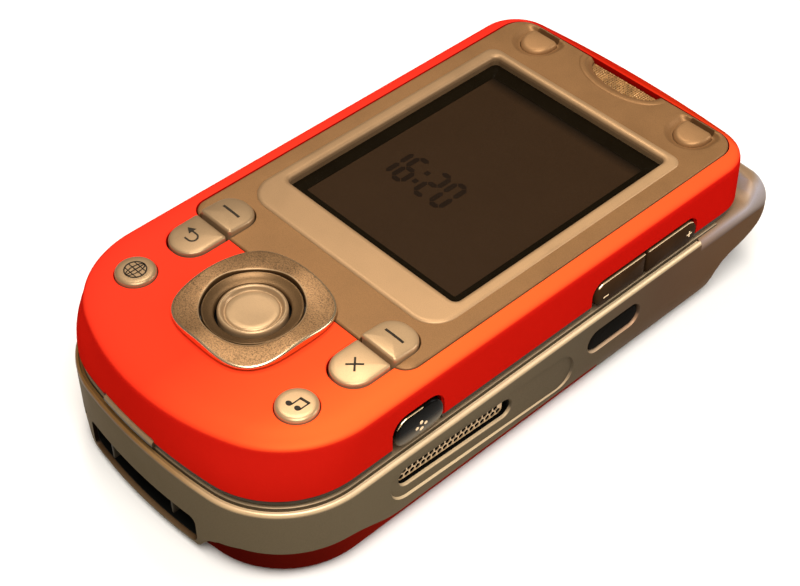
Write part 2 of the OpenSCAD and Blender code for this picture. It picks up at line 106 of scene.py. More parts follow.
def surface(name, base, metallic=0.0, rough=0.5, var=0.08, var_scale=250.0, grain=0.0, grain_scale=7000.0,
            rough_var=0.05, bump=0.0, bump_scale=5000.0, spec=0.5, coat=0.0, coat_rough=0.1, stretch=None,
            painted_light_by_facing=None, painted_light_drift=None, tone=None, tint=None, alpha=None):
    """Painted or moulded surface: slow colour variation, fine grain, uneven gloss and a micro bump; light and shade can
    also be painted into the colour by the way a face looks and along an axis.
    """
    m, nt, bsdf, coord = shader(name)
    slow = noise(nt, coord, var_scale, 3.0)
    fine = noise(nt, coord, grain_scale, 2.0, stretch, 0.6)
    # painted light and shade by the way a face looks: faces that look up are painted lighter, side faces darker
    if painted_light_by_facing:
        geo = nt.nodes.new("ShaderNodeNewGeometry")
        geo_n = nt.nodes.new("ShaderNodeSeparateXYZ")
        nt.links.new(geo.outputs["Normal"], geo_n.inputs["Vector"])
        r1 = ramp(nt, geo_n.outputs["Z"], painted_light_by_facing)
        cloud = ramp(nt, slow.outputs["Fac"], [(0.3, (1 - var,) * 3), (0.7, (1.0,) * 3)])
        mix = nt.nodes.new("ShaderNodeMix")
        mix.data_type, mix.blend_type = "RGBA", "MULTIPLY"
        mix.inputs["Factor"].default_value = 1.0
        nt.links.new(r1.outputs["Color"], mix.inputs["A"])
        nt.links.new(cloud.outputs["Color"], mix.inputs["B"])
        colour = mix.outputs["Result"]
    else:
        r1 = ramp(nt, slow.outputs["Fac"], [(0.3, shade(base, 1 - var)), (0.7, shade(base, 1 + var))])
        colour = r1.outputs["Color"]
    if painted_light_drift:
        # painted light and shade: slow change of tone across the part, along one axis between two positions in metres
        axis, lo, hi, stops = painted_light_drift
        place = nt.nodes.new("ShaderNodeSeparateXYZ")
        nt.links.new(coord.outputs["Object"], place.inputs["Vector"])
        along = nt.nodes.new("ShaderNodeMapRange")
        along.inputs["From Min"].default_value = lo
        along.inputs["From Max"].default_value = hi
        nt.links.new(place.outputs[axis], along.inputs["Value"])
        slope = ramp(nt, along.outputs["Result"], stops)
        mix = nt.nodes.new("ShaderNodeMix")
        mix.data_type = "RGBA"
        if painted_light_by_facing:
            # only the faces that look up take the tone
            up = nt.nodes.new("ShaderNodeMapRange")
            up.inputs["From Min"].default_value = 0.45
            up.inputs["From Max"].default_value = 0.95
            nt.links.new(geo_n.outputs["Z"], up.inputs["Value"])
            nt.links.new(up.outputs["Result"], mix.inputs["Factor"])
        else:
            mix.blend_type = "MULTIPLY"
            mix.inputs["Factor"].default_value = 1.0
        nt.links.new(colour, mix.inputs["A"])
        nt.links.new(slope.outputs["Color"], mix.inputs["B"])
        colour = mix.outputs["Result"]
    for axis, lo, hi, stops in tone if isinstance(tone, list) else [tone] if tone else []:
        # tone that darkens every face along one axis, used for painted shade and painted light on most materials
        place = nt.nodes.new("ShaderNodeSeparateXYZ")
        nt.links.new(coord.outputs["Object"], place.inputs["Vector"])
        along = nt.nodes.new("ShaderNodeMapRange")
        along.inputs["From Min"].default_value = lo
        along.inputs["From Max"].default_value = hi
        nt.links.new(place.outputs[axis], along.inputs["Value"])
        dim = ramp(nt, along.outputs["Result"], stops)
        mix = nt.nodes.new("ShaderNodeMix")
        mix.data_type, mix.blend_type = "RGBA", "MULTIPLY"
        mix.inputs["Factor"].default_value = 1.0
        nt.links.new(colour, mix.inputs["A"])
        nt.links.new(dim.outputs["Color"], mix.inputs["B"])
        colour = mix.outputs["Result"]
    if grain:
        g = ramp(nt, fine.outputs["Fac"], [(0.34, (1 - grain,) * 3), (0.5, (1 - grain * 0.35,) * 3), (0.68, (1.0,) * 3)])
        mix = nt.nodes.new("ShaderNodeMix")
        mix.data_type, mix.blend_type = "RGBA", "MULTIPLY"
        mix.inputs["Factor"].default_value = 1.0
        nt.links.new(colour, mix.inputs["A"])
        nt.links.new(g.outputs["Color"], mix.inputs["B"])
        colour = mix.outputs["Result"]
    nt.links.new(colour, bsdf.inputs["Base Color"])
    mr = nt.nodes.new("ShaderNodeMapRange")
    mr.inputs["From Min"].default_value = 0.3
    mr.inputs["From Max"].default_value = 0.7
    mr.inputs["To Min"].default_value = max(0.02, rough - rough_var)
    mr.inputs["To Max"].default_value = min(1.0, rough + rough_var)
    nt.links.new(slow.outputs["Fac"], mr.inputs["Value"])
    nt.links.new(mr.outputs["Result"], bsdf.inputs["Roughness"])
    if bump:
        tex = noise(nt, coord, bump_scale, 2.0, stretch, 0.6)
        b = nt.nodes.new("ShaderNodeBump")
        b.inputs["Strength"].default_value = bump
        b.inputs["Distance"].default_value = 0.00004
        nt.links.new(tex.outputs["Fac"], b.inputs["Height"])
        nt.links.new(b.outputs["Normal"], bsdf.inputs["Normal"])
    bsdf.inputs["Metallic"].default_value = metallic
    bsdf.inputs["Specular IOR Level"].default_value = spec
    if coat:
        bsdf.inputs["Coat Weight"].default_value = coat
        bsdf.inputs["Coat Roughness"].default_value = coat_rough
    if tint:
        bsdf.inputs["Specular Tint"].default_value = (*tint, 1)
    if alpha is not None:
        bsdf.inputs["Alpha"].default_value = alpha
    return m


# Painted light and shade: faces that look up are orange and the side walls a deep red as painted shade; a painted
# highlight makes the top lighter and yellower towards +x; painted shade darkens the top end of the shell from y 38.7 mm
# on; the orange also turns redder from y -20 mm to y 30 mm.
ORANGE = surface("orange_paint", (0.9, 0.09, 0.02), metallic=0.10, rough=0.42, var=0.05, var_scale=60, rough_var=0.04, bump=0.05,
                 bump_scale=9000, spec=0.0, tint=(1.0, 0.12, 0.05), tone=[("Y", 0.0387, 0.0399, [(0.0, (1.0, 1.0, 1.0)), (1.0, (0.50, 0.42, 0.30))]), ("Y", -0.02, 0.03, [(0.0, (1.0, 1.0, 1.0)), (1.0, (1.0, 0.76, 0.88))])],
                 painted_light_by_facing=[(0.0, (0.47, 0.0085, 0.004)), (0.35, (0.52, 0.010, 0.005)), (0.7, (0.72, 0.022, 0.009))],
                 painted_light_drift=("X", -0.022, 0.022, [(0.0, (0.78, 0.038, 0.018)), (0.5, (0.92, 0.041, 0.014)), (0.8, (0.94, 0.078, 0.019)), (0.97, (0.95, 0.125, 0.026))]))
# Painted shade: the rear cover is a darker copy of the orange paint, with its side faces darker still and darker
# towards the connector end.
COVER = surface("orange_paint_shade", (0.14, 0.006, 0.003), metallic=0.10, rough=0.45, var=0.06, var_scale=60, bump=0.05, bump_scale=9000, spec=0.0,
                tint=(1.0, 0.12, 0.05), painted_light_by_facing=[(0.0, (0.16, 0.0078, 0.004)), (0.3, (0.20, 0.0095, 0.005)), (0.9, (0.30, 0.014, 0.006))],
                tone=("Y", -0.045, -0.027, [(0.0, (0.26, 0.38, 0.38)), (0.5, (0.55, 0.6, 0.6)), (1.0, (1.0, 1.0, 1.0))]))
BEZEL = surface("champagne_paint", (0.288, 0.148, 0.059), metallic=0.4, rough=0.46, var=0.05, grain=0.22, grain_scale=9000,
                bump=0.12, bump_scale=9000, spec=0.15)
GAMEKEY = surface("champagne_key", (0.35, 0.188, 0.080), metallic=0.4, rough=0.44, var=0.05, grain=0.16, grain_scale=9000,
                  bump=0.10, bump_scale=9000, spec=0.15)
# Painted light: the frame is lighter towards +x and darker towards -x.
FRAME = surface("pale_champagne_paint", (0.50, 0.305, 0.155), metallic=0.4, rough=0.44, var=0.04, grain=0.14, grain_scale=9000,
                bump=0.08, bump_scale=9000, spec=0.15, painted_light_drift=("X", -0.018, 0.018, [(0.0, (0.72,) * 3), (0.5, (0.88,) * 3), (1.0, (1.0,) * 3)]))
# Painted light and shade: the keys are lighter towards +x and darker towards -x.
KEYS = surface("key_silver", (0.55, 0.358, 0.192), metallic=0.5, rough=0.36, var=0.04, grain=0.08, bump=0.05, spec=0.25,
               painted_light_drift=("X", -0.018, 0.018, [(0.0, (0.64,) * 3), (0.5, (0.80,) * 3), (1.0, (1.0,) * 3)]))
# Painted light and shade: the ring is lighter towards +x and darker towards -x.
NAV = surface("blasted_ring", (0.40, 0.222, 0.098), metallic=0.6, rough=0.40, var=0.06, grain=0.66, grain_scale=5600, rough_var=0.08,
              bump=0.7, bump_scale=5600, spec=0.3, painted_light_drift=("X", -0.009, 0.009, [(0.0, (0.82,) * 3), (0.5, (0.90,) * 3), (1.0, (1.0,) * 3)]))
# Painted shade: a darker copy of the ring's colour for its skirt, underside and inner wall.
NAV_SHADE = surface("ring_painted_shade", (0.125, 0.066, 0.027), metallic=0.6, rough=0.34, var=0.08, grain=0.2, bump=0.2, bump_scale=7000, spec=0.2)
# Painted shade: the dish darkens towards -y.
DISH = surface("dish_silver", (0.24, 0.135, 0.058), metallic=0.55, rough=0.34, var=0.08, grain=0.25, grain_scale=6000, bump=0.2, bump_scale=7000, spec=0.2,
               painted_light_drift=("Y", -0.0345, -0.0217, [(0.0, (0.5,) * 3), (0.45, (0.64,) * 3), (1.0, (1.0,) * 3)]))
MIRROR = surface("ring_wall", (0.80, 0.60, 0.42), metallic=1.0, rough=0.16, var=0.04, rough_var=0.03, bump=0.02)
POLISH = surface("polished_edge", (0.78, 0.58, 0.35), metallic=0.9, rough=0.22, var=0.04, rough_var=0.04, bump=0.03)
# Painted light and shade: faces that look sideways are dark and faces that look up light cream; painted shade makes
# faces darker towards -x; the grey also turns darker and redder towards the nose end.
GREY = surface("warm_grey_paint", (0.09, 0.07, 0.044), metallic=0.18, rough=0.48, var=0.05, grain=0.16, grain_scale=8000,
               bump=0.08, bump_scale=8000, spec=0.01, tint=(1.0, 0.82, 0.6), tone=[("Y", -0.018, 0.034, [(0.0, (1.0, 1.0, 1.0)), (0.45, (0.78, 0.77, 0.82)), (0.76, (0.74, 0.54, 0.53)), (1.0, (0.86, 0.58, 0.50))]),
                     ("X", -0.002, 0.021, [(0.0, (0.76, 0.74, 0.70)), (1.0, (1.0, 1.0, 1.0))])],
               painted_light_by_facing=[(0.0, (0.118, 0.092, 0.056)), (0.25, (0.142, 0.112, 0.074)), (0.6, (0.52, 0.38, 0.225)), (0.9, (0.72, 0.54, 0.325))])
# Painted light and shade: sideways faces are dark and faces that look half up take a bluish painted highlight; painted
# light makes the nose lighter and cooler towards its end, browner near y 29 mm.
SILVER = surface("nose_silver", (0.25, 0.21, 0.165), metallic=0.22, rough=0.5, var=0.05, grain=0.10, grain_scale=8000, bump=0.06, spec=0.05,
                 tone=("Y", 0.029, 0.041, [(0.0, (0.86, 0.68, 0.52)), (0.5, (0.92, 0.85, 0.80)), (1.0, (1.0, 1.0, 1.0))]),
                 painted_light_by_facing=[(0.0, (0.095, 0.056, 0.038)), (0.3, (0.27, 0.22, 0.20)), (0.62, (0.38, 0.34, 0.355)), (0.84, (0.33, 0.24, 0.17)), (1.0, (0.30, 0.195, 0.115))])
# Painted light and shade: sideways faces are dark and faces that look up light cream; the rim is painted dark bronze
# towards -x as shade and near white towards +x as highlight.
RIM = surface("bright_rim", (0.78, 0.54, 0.30), metallic=0.3, rough=0.34, var=0.05, grain=0.06, bump=0.04, spec=0.12,
              painted_light_by_facing=[(0.0, (0.135, 0.104, 0.063)), (0.25, (0.45, 0.33, 0.195)), (0.6, (0.84, 0.63, 0.39)), (0.95, (0.95, 0.74, 0.48))],
              tone=("X", -0.0235, 0.0235, [(0.0, (0.23, 0.15, 0.075)), (0.45, (0.28, 0.185, 0.09)), (0.62, (0.46, 0.35, 0.225)), (0.85, (0.96, 0.89, 0.80)), (1.0, (1.0, 0.98, 0.95))]))
# Painted shade: the mouth of the connector pocket is painted near black above its lower lip.
LIP = surface("pocket_lip", (0.15, 0.090, 0.045), metallic=0.2, rough=0.45, var=0.06, grain=0.15, bump=0.08, spec=0.06,
              tone=("Z", 0.0016, 0.0022, [(0.0, (1.0, 1.0, 1.0)), (0.35, (0.62, 0.55, 0.48)), (1.0, (0.05, 0.04, 0.03))]))
# Painted light and shade: the front face of the tab is dark and its top edge light.
TAB = surface("tab_bronze", (0.3, 0.2, 0.11), metallic=0.2, rough=0.4, var=0.06, grain=0.12, bump=0.08, spec=0.1,
              painted_light_by_facing=[(0.0, (0.06, 0.041, 0.022)), (0.25, (0.20, 0.135, 0.072)), (0.9, (0.36, 0.245, 0.13))])
# Painted shade: faces of the deck that look sideways are dark, faces that look up lighter.
DECK = surface("deck_silver", (0.42, 0.30, 0.18), metallic=0.35, rough=0.4, var=0.05, grain=0.15, bump=0.1, spec=0.12,
               painted_light_by_facing=[(0.0, (0.070, 0.055, 0.036)), (0.4, (0.16, 0.12, 0.07)), (0.9, (0.42, 0.30, 0.18))])
DARK = surface("dark_olive_plastic", (0.052, 0.041, 0.027), rough=0.5, var=0.12, grain=0.2, bump=0.2, bump_scale=4000, spec=0.08)
BLACK = surface("black_gloss", (0.0026, 0.0018, 0.001), rough=0.24, var=0.2, rough_var=0.03, bump=0.02, spec=0.005, tint=(1.0, 0.8, 0.4))
# Painted reflection: the glossy black rocker is coloured dark brown, darker at its foot and lighter towards its top
# edge.
ROCKER = surface("rocker_gloss", (0.036, 0.0175, 0.0075), rough=0.24, var=0.12, rough_var=0.03, bump=0.02, spec=0.004, tint=(1.0, 0.7, 0.4),
                 painted_light_drift=("Z", 0.0137, 0.0176, [(0.0, (0.45,) * 3), (0.5, (0.8,) * 3), (1.0, (1.0,) * 3)]))
# Painted reflection: the glossy black key is grey towards its foot and black towards its top.
CAMKEY = surface("camera_key_gloss", (0.11, 0.088, 0.058), rough=0.24, var=0.1, rough_var=0.03, bump=0.02, spec=0.05,
                 painted_light_drift=("Z", 0.0137, 0.0184, [(0.30, (1.0,) * 3), (0.52, (0.16,) * 3), (0.62, (0.02,) * 3)]))
SOOT = surface("matt_black", (0.003, 0.003, 0.0025), rough=0.6, var=0.3, bump=0.15, spec=0.06)
MASK = surface("display_mask", (0.0035, 0.0027, 0.0010), rough=0.35, var=0.2, bump=0.02, spec=0.015)
# Painted shade: the picture area darkens at its far end, beyond y 25.2 mm.
LCD = surface("display_face", (0.042, 0.021, 0.009), rough=0.4, var=0.06, var_scale=40, grain=0.12, grain_scale=6000, bump=0.02, spec=0.06,
              tone=("Y", 0.0252, 0.0271, [(0.0, (1.0, 1.0, 1.0)), (0.35, (0.72,) * 3), (1.0, (0.10, 0.12, 0.10))]))
DIGIT = surface("display_segments", (0.012, 0.006, 0.003), rough=0.4, var=0.08, bump=0.02, spec=0.06)
GLASS = surface("display_glass", (0.02, 0.012, 0.006), rough=0.14, var=0.1, rough_var=0.02, spec=0.05, alpha=0.12)
INK = surface("printed_marks", (0.026, 0.019, 0.012), rough=0.5, var=0.15, bump=0.05, spec=0.15)
GOLD = surface("contact_gold", (0.75, 0.52, 0.20), metallic=1.0, rough=0.25, var=0.08)
STEEL = surface("bright_steel", (0.62, 0.60, 0.57), metallic=1.0, rough=0.28, var=0.06, grain=0.1, stretch=(1, 1, 12), bump=0.1)
BRONZE = surface("bronze_mesh", (0.50, 0.27, 0.10), metallic=0.4, rough=0.36, var=0.3, var_scale=900, grain=0.4, grain_scale=4000, bump=0.3)
GRILLE = surface("cream_grille", (0.62, 0.44, 0.25), metallic=0.4, rough=0.32, var=0.06, bump=0.05)
BOARD = surface("circuit_board", (0.02, 0.10, 0.045), rough=0.45, var=0.25, grain=0.2, bump=0.1)
RUBBER = surface("pale_rubber", (0.55, 0.54, 0.50), rough=0.7, var=0.06, grain=0.08, bump=0.2)
FLEX = surface("copper_flex", (0.62, 0.30, 0.09), rough=0.35, var=0.1, bump=0.05)
LENS = surface("lens_glass", (0.012, 0.014, 0.03), rough=0.05, var=0.2, rough_var=0.02, spec=0.8, coat=1.0, coat_rough=0.03)
LAMP = surface("lamp_plastic", (0.85, 0.84, 0.78), rough=0.25, var=0.04, grain=0.05, bump=0.05, spec=0.6)
BATTERY = surface("battery_case", (0.05, 0.05, 0.052), rough=0.5, var=0.12, grain=0.15, bump=0.2)
KEYTOP = surface("number_key_silver", (0.62, 0.46, 0.29), metallic=0.55, rough=0.34, var=0.05, grain=0.1, bump=0.06)


# ---------------------------------------------------------------- plan curves (mm)
def rr(x0, y0, x1, y1, r, n=8):
    """Round-cornered rectangle, counter-clockwise; r is one radius or (bottom left, bottom right, top right, top left)."""
    if not hasattr(r, "__len__"):
        r = (r,) * 4
    bl, br, tr, tl = [max(v, 0.03) for v in r]
    out = []
    for cx, cy, rad, a0 in ((x0 + bl, y0 + bl, bl, 180), (x1 - br, y0 + br, br, 270), (x1 - tr, y1 - tr, tr, 0), (x0 + tl, y1 - tl, tl, 90)):
        for i in range(n + 1):
            a = math.radians(a0 + 90 * i / n)
            out.append((cx + rad * math.cos(a), cy + rad * math.sin(a)))
    return out


def rr_fn(x0, y0, x1, y1, r, n=8):
    rs = r if hasattr(r, "__len__") else (r,) * 4
    return lambda d: rr(x0 + d, y0 + d, x1 - d, y1 - d, [q - d for q in rs], n)


def circle_fn(cx, cy, r, n=64):
    return lambda d: [(cx + (r - d) * math.cos(2 * math.pi * i / n), cy + (r - d) * math.sin(2 * math.pi * i / n)) for i in range(n)]


def end_pts(a, b, r, n, m):
    big_r = ((a - r) ** 2 + b * b - r * r) / (2 * (b - r))
    phi = math.atan2(big_r - b, a - r)
    out = [(a - r + r * math.cos(phi * i / n), r * math.sin(phi * i / n)) for i in range(n + 1)]
    for i in range(1, m):
        t = phi + (math.pi - 2 * phi) * i / m
        out.append((big_r * math.cos(t), b - big_r + big_r * math.sin(t)))
    out += [(-(a - r + r * math.cos(phi * i / n)), r * math.sin(phi * i / n)) for i in range(n, -1, -1)]
    return out


def phone_outline(a, y0, b0, r0, y1, b1, r1, k=1):
    top = [(x, y1 - b1 + y) for x, y in end_pts(a, b1, r1, 14, 16 * k)]
    low = [(-x, y0 + b0 - y) for x, y in end_pts(a, b0, r0, 26, 22)]
    side = [y1 - b1 + (y0 + b0 - y1 + b1) * i / (16 * k) for i in range(1, 16 * k)]
    return top + [(-a, y) for y in side] + low + [(a, y) for y in reversed(side)]


def base_o(d, k=1):
    r1 = max(0.4, 3.9 - d)
    return phone_outline(23.25 - d, -46.5 + d, 14.2 - d, 13.5 - d, 46.5 - d, max(r1 + 0.15, 4.6 - d), r1, k)


def flip_o(d, lean=0.0):
    """Plan of the flip; lean goes from 0 at the foot of its wall to 1 under the top edge."""
    foot = phone_outline(22.6 - d, -45.95 + d, 13.6 - d, 12.8 - d, 41.4 - d, 6.8 - d, 6 - d)
    top = phone_outline(22.54 - d, -45.75 + d, 15.7 - d, 14 - d, 41.34 - d, 6.8 - d, 6 - d)
    return [(a[0] + (b[0] - a[0]) * lean, a[1] + (b[1] - a[1]) * lean) for a, b in zip(foot, top)]


PIVOT_Y = -28.1
NAV_Y = -27.9
NAV_A, NAV_B, NAV_N = 8.8, 8.75, 3.26


def nav_r(t, d=0.0):
    c, s = abs(math.cos(t)), abs(math.sin(t))
    return ((c / (NAV_A - d)) ** NAV_N + (s / (NAV_B - d)) ** NAV_N) ** (-1 / NAV_N)


def nav_fn(d, n=144):
    out = []
    for i in range(n):
        t = 2 * math.pi * i / n
        r = nav_r(t, d)
        out.append((r * math.cos(t), NAV_Y + r * math.sin(t)))
    return out


# ---------------------------------------------------------------- mesh making (mm)
def ring_at(pts, z):
    return [(x, y, z) for x, y in pts]


def loft(rings, caps=True, wrap=False):
    n = len(rings[0])
    verts = [v for r in rings for v in r]
    faces = []
    k = len(rings)
    for a in range(k if wrap else k - 1):
        b = (a + 1) % k
        for i in range(n):
            j = (i + 1) % n
            faces.append((a * n + i, a * n + j, b * n + j, b * n + i))
    if caps and not wrap:
        faces.append(tuple(reversed(range(n))))
        faces.append(tuple((k - 1) * n + i for i in range(n)))
    return verts, faces


def stack(fn, prof, caps=True):
    """Solid from inset/height pairs, bottom to top."""
    return loft([ring_at(fn(d), z) for d, z in prof], caps)


def prism(pts, z0, z1):
    return loft([ring_at(pts, z0), ring_at(pts, z1)])


def box(x0, y0, z0, x1, y1, z1):
    return prism([(x0, y0), (x1, y0), (x1, y1), (x0, y1)], z0, z1)


def along_x(part):
    """Turns a part drawn as (y, z, x) into (x, y, z)."""
    v, f = part
    return [(c, a, b) for a, b, c in v], f


def along_y(part):
    """Turns a part drawn as (x, z, y) into (x, y, z)."""
    v, f = part
    return [(a, c, b) for a, b, c in v], f


def tilted(part):
    """Side features lean a little: they sit lower towards the nose."""
    v, f = part
    return [(x, y, z - 0.048 * (y + 16)) for x, y, z in v], f


def mirror_x(part):
    v, f = part
    return [(-x, y, z) for x, y, z in v], [tuple(reversed(q)) for q in f]


def revolve(prof, cx, cy, n=72):
    """Closed turned solid from (radius, height) pairs that start and end on the axis, bottom to top."""
    rings, verts, faces = [], [], []
    for r, z in prof:
        if r < 1e-6:
            verts.append((cx, cy, z))
            rings.append([len(verts) - 1])
        else:
            start = len(verts)
            verts += [(cx + r * math.cos(2 * math.pi * i / n), cy + r * math.sin(2 * math.pi * i / n), z) for i in range(n)]
            rings.append(list(range(start, start + n)))
    for a, b in zip(rings, rings[1:]):
        for i in range(n):
            j = (i + 1) % n
            if len(a) == 1 and len(b) == 1:
                continue
            if len(a) == 1:
                faces.append((a[0], b[j], b[i]))
            elif len(b) == 1:
                faces.append((a[i], a[j], b[0]))
            else:
                faces.append((a[i], a[j], b[j], b[i]))
    return verts, faces


def ring_solid(prof, cx, cy, n=72):
    """Turned ring from a closed (radius, height) section that stays off the axis."""
    v, f = revolve(prof, cx, cy, n)
    k = (len(prof) - 1) * n
    return v, f + [(k + i, k + (i + 1) % n, (i + 1) % n, i) for i in range(n)]


def merge(*parts):
    verts, faces = [], []
    for v, f in parts:
        k = len(verts)
        verts += list(v)
        faces += [tuple(i + k for i in q) for q in f]
    return verts, faces


def raw(name, part):
    me = bpy.data.meshes.new(name)
    me.from_pydata(part[0], [], part[1])
    me.update()
    bm = bmesh.new()
    bm.from_mesh(me)
    bmesh.ops.remove_doubles(bm, verts=bm.verts, dist=1e-5)
    bmesh.ops.recalc_face_normals(bm, faces=bm.faces)
    bm.to_mesh(me)
    bm.free()
    ob = bpy.data.objects.new(name, me)
    scene.collection.objects.link(ob)
    return ob


def cut(ob, part, op="DIFFERENCE"):
    """Boolean of a working object with a part; returns the object."""
    tool = raw("tool", part)
    m = ob.modifiers.new("cut", "BOOLEAN")
    m.operation, m.object, m.solver = op, tool, "EXACT"
    dg = bpy.context.evaluated_depsgraph_get()
    me = bpy.data.meshes.new_from_object(ob.evaluated_get(dg))
    ob.modifiers.clear()
    old = ob.data
    ob.data = me
    bpy.data.meshes.remove(old)
    tm = tool.data
    bpy.data.objects.remove(tool)
    bpy.data.meshes.remove(tm)
    return ob


def take(ob):
    """Mesh of a working object as a part; the object goes."""
    part = [tuple(v.co) for v in ob.data.vertices], [tuple(p.vertices) for p in ob.data.polygons]
    bpy.data.objects.remove(ob)
    return part


def piece(ob, name, mats, body, replaces=(), angle=38.0, weighted=True):
    """Turns a working object into a finished piece: metres, shading, materials, body."""
    if isinstance(ob, tuple):
        ob = raw(name, ob)
    me = ob.data
    me.transform(Matrix.Scale(0.001, 4))
    me.name = ob.name = name
    for p in me.polygons:
        p.use_smooth = True
    bm = bmesh.new()
    bm.from_mesh(me)
    lim = math.radians(angle)
    for e in bm.edges:
        e.smooth = len(e.link_faces) == 2 and e.calc_face_angle(0.0) < lim
    bm.to_mesh(me)
    bm.free()
    if not isinstance(mats, (list, tuple)):
        mats = [mats]
    while len(me.materials) > len(mats):
        me.materials.pop()
    for i, m in enumerate(mats):
        if i < len(me.materials):
            me.materials[i] = m
        else:
            me.materials.append(m)
    if weighted:
        w = ob.modifiers.new("even_shading", "WEIGHTED_NORMAL")
        w.keep_sharp = True
        w.weight = 60
    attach(ob, body)
    if replaces:
        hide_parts(*replaces)
    return ob


def opening(fn, z0, ztop, b, up=1.5):
    """Cutter for an opening whose upper edge is rounded by b."""
    prof = [(0, z0), (0, ztop - b)]
    for t in (22, 44, 64, 78):
        a = math.radians(t)
        prof.append((-b * (1 - math.cos(a)), ztop - b + b * math.sin(a)))
    d, z = prof[-1]
    prof.append((d - b * 0.35, ztop + b * 0.07))
    prof.append((d - b * 0.35, ztop + up))
    return stack(fn, prof)


def rounded(fn, z0, z1, b_low, b_top, n=4):
    """Plate whose two outer edges are rounded."""
    prof = []
    if b_low:
        for i in range(n + 1):
            a = math.radians(90 * i / n)
            prof.append((b_low * (1 - math.sin(a)), z0 + b_low * (1 - math.cos(a))))
    else:
        prof.append((0, z0))
    for i in range(n + 1):
        a = math.radians(90 * i / n)
        prof.append((b_top * (1 - math.cos(a)), z1 - b_top + b_top * math.sin(a)))
    return stack(fn, prof)


def pillow(pts, centre, z0, edge, top, rings=6):
    """Key cap: plan points, straight side from z0, rounded edge and a top surface height top(x, y)."""
    cx, cy = centre
    n = len(pts)

    def inset(d):
        out = []
        for i in range(n):
            ax, ay = pts[i - 1]
            px, py = pts[i]
            bx, by = pts[(i + 1) % n]
            tx, ty = bx - ax, by - ay
            ln = math.hypot(tx, ty) or 1
            out.append((px - ty / ln * d, py + tx / ln * d))
        return out
    rows = [ring_at(pts, z0)]
    for i in range(6):
        a = math.radians(90 * i / 5)
        q = inset(edge * (1 - math.cos(a)))
        rows.append([(x, y, top(x, y) - edge + edge * math.sin(a)) for x, y in q])
    last = inset(edge)
    for k in range(1, rings):
        s = 1 - k / rings
        rows.append([(cx + (x - cx) * s, cy + (y - cy) * s, top(cx + (x - cx) * s, cy + (y - cy) * s)) for x, y in last])
    verts, faces = loft(rows, caps=False)
    k = len(rows)
    faces.append(tuple(reversed(range(n))))
    verts.append((cx, cy, top(cx, cy)))
    for i in range(n):
        faces.append(((k - 1) * n + i, (k - 1) * n + (i + 1) % n, len(verts) - 1))
    return verts, faces


def ribbon(line, w, top, h=0.035, closed=False):
    """Thin inlaid stroke of width w along a polyline, lying on a surface top(x, y)."""
    n = len(line)
    rows = []
    for i in range(n):
        ax, ay = line[(i - 1) % n] if closed or i else line[0]
        bx, by = line[(i + 1) % n] if closed or i < n - 1 else line[-1]
        px, py = line[i]
        tx, ty = bx - ax, by - ay
        ln = math.hypot(tx, ty) or 1
        nx, ny = -ty / ln * w / 2, tx / ln * w / 2
        l, r = (px + nx, py + ny), (px - nx, py - ny)
        rows.append([(l[0], l[1], top(*l) - 0.06), (r[0], r[1], top(*r) - 0.06), (r[0], r[1], top(*r) + h), (l[0], l[1], top(*l) + h)])
    verts = [v for q in rows for v in q]
    faces = []
    for i in range(n if closed else n - 1):
        j = (i + 1) % n
        for a in range(4):
            b = (a + 1) % 4
            faces.append((i * 4 + a, i * 4 + b, j * 4 + b, j * 4 + a))
    if not closed:
        faces.append((3, 2, 1, 0))
        m = (n - 1) * 4
        faces.append((m, m + 1, m + 2, m + 3))
    return verts, faces


def patch(pts, top, h=0.035):
    """Small inlaid filled shape."""
    return loft([[(x, y, top(x, y) - 0.06) for x, y in pts], [(x, y, top(x, y) + h) for x, y in pts]])


def arc(cx, cy, r, a0, a1, n=16, ry=None):
    ry = r if ry is None else ry
    return [(cx + r * math.cos(math.radians(a0 + (a1 - a0) * i / n)), cy + ry * math.sin(math.radians(a0 + (a1 - a0) * i / n))) for i in range(n + 1)]


def sweep(line, section, up=(0, 0, 1)):
    """Closed solid: a 2-D section (side, height) carried along a 3-D line."""
    rows = []
    n = len(line)
    for i in range(n):
        a = Vector(line[max(0, i - 1)])
        b = Vector(line[min(n - 1, i + 1)])
        t = (b - a).normalized()
        u = Vector(up)
        s = t.cross(u).normalized()
        u = s.cross(t).normalized()
        p = Vector(line[i])
        rows.append([tuple(p + s * x + u * y) for x, y in section])
    return loft(rows)


# ---------------------------------------------------------------- flip: orange shell
WALL = [(0.34, 14.2, 0), (0.10, 14.3, 0), (0, 14.55, 0), (0, 15.8, 0.03), (0, 17.0, 0.12), (0, 18.2, 0.3), (0, 19.4, 0.58), (0, 20.2, 0.82), (0, 20.6, 0.93), (0.03, 20.95, 1),
        (0.13, 21.3, 1), (0.33, 21.56, 1), (0.66, 21.75, 1), (1.15, 21.91, 1), (1.75, 22.04, 1), (2.4, 22.13, 1), (3.1, 22.18, 1), (4.0, 22.2, 1)]
shell = raw("shell", loft([ring_at(flip_o(d, t), z) for d, z, t in WALL]))
cut(shell, prism(flip_o(1.3, 1), 13.0, 20.9))
bezel_fn = rr_fn(-20.2, -22.0, 20.2, 39.3, (2.3, 2.3, 3.6, 3.6), 10)
cut(shell, opening(bezel_fn, 19, 22.16, 0.14))
KEY_X = 15.2
for s in (-1, 1):
    cut(shell, opening(rr_fn(s * KEY_X - 3.15, -28.55, s * KEY_X + 3.15, -19.0, (2.85, 2.85, 0.5, 0.5), 10), 19, 22.17, 0.16))
    cut(shell, opening(circle_fn(s * KEY_X, -34.2, 2.75), 19, 22.18, 0.10))
cut(shell, opening(lambda d: nav_fn(d + 0.58), 19, 22.2, 0.05))
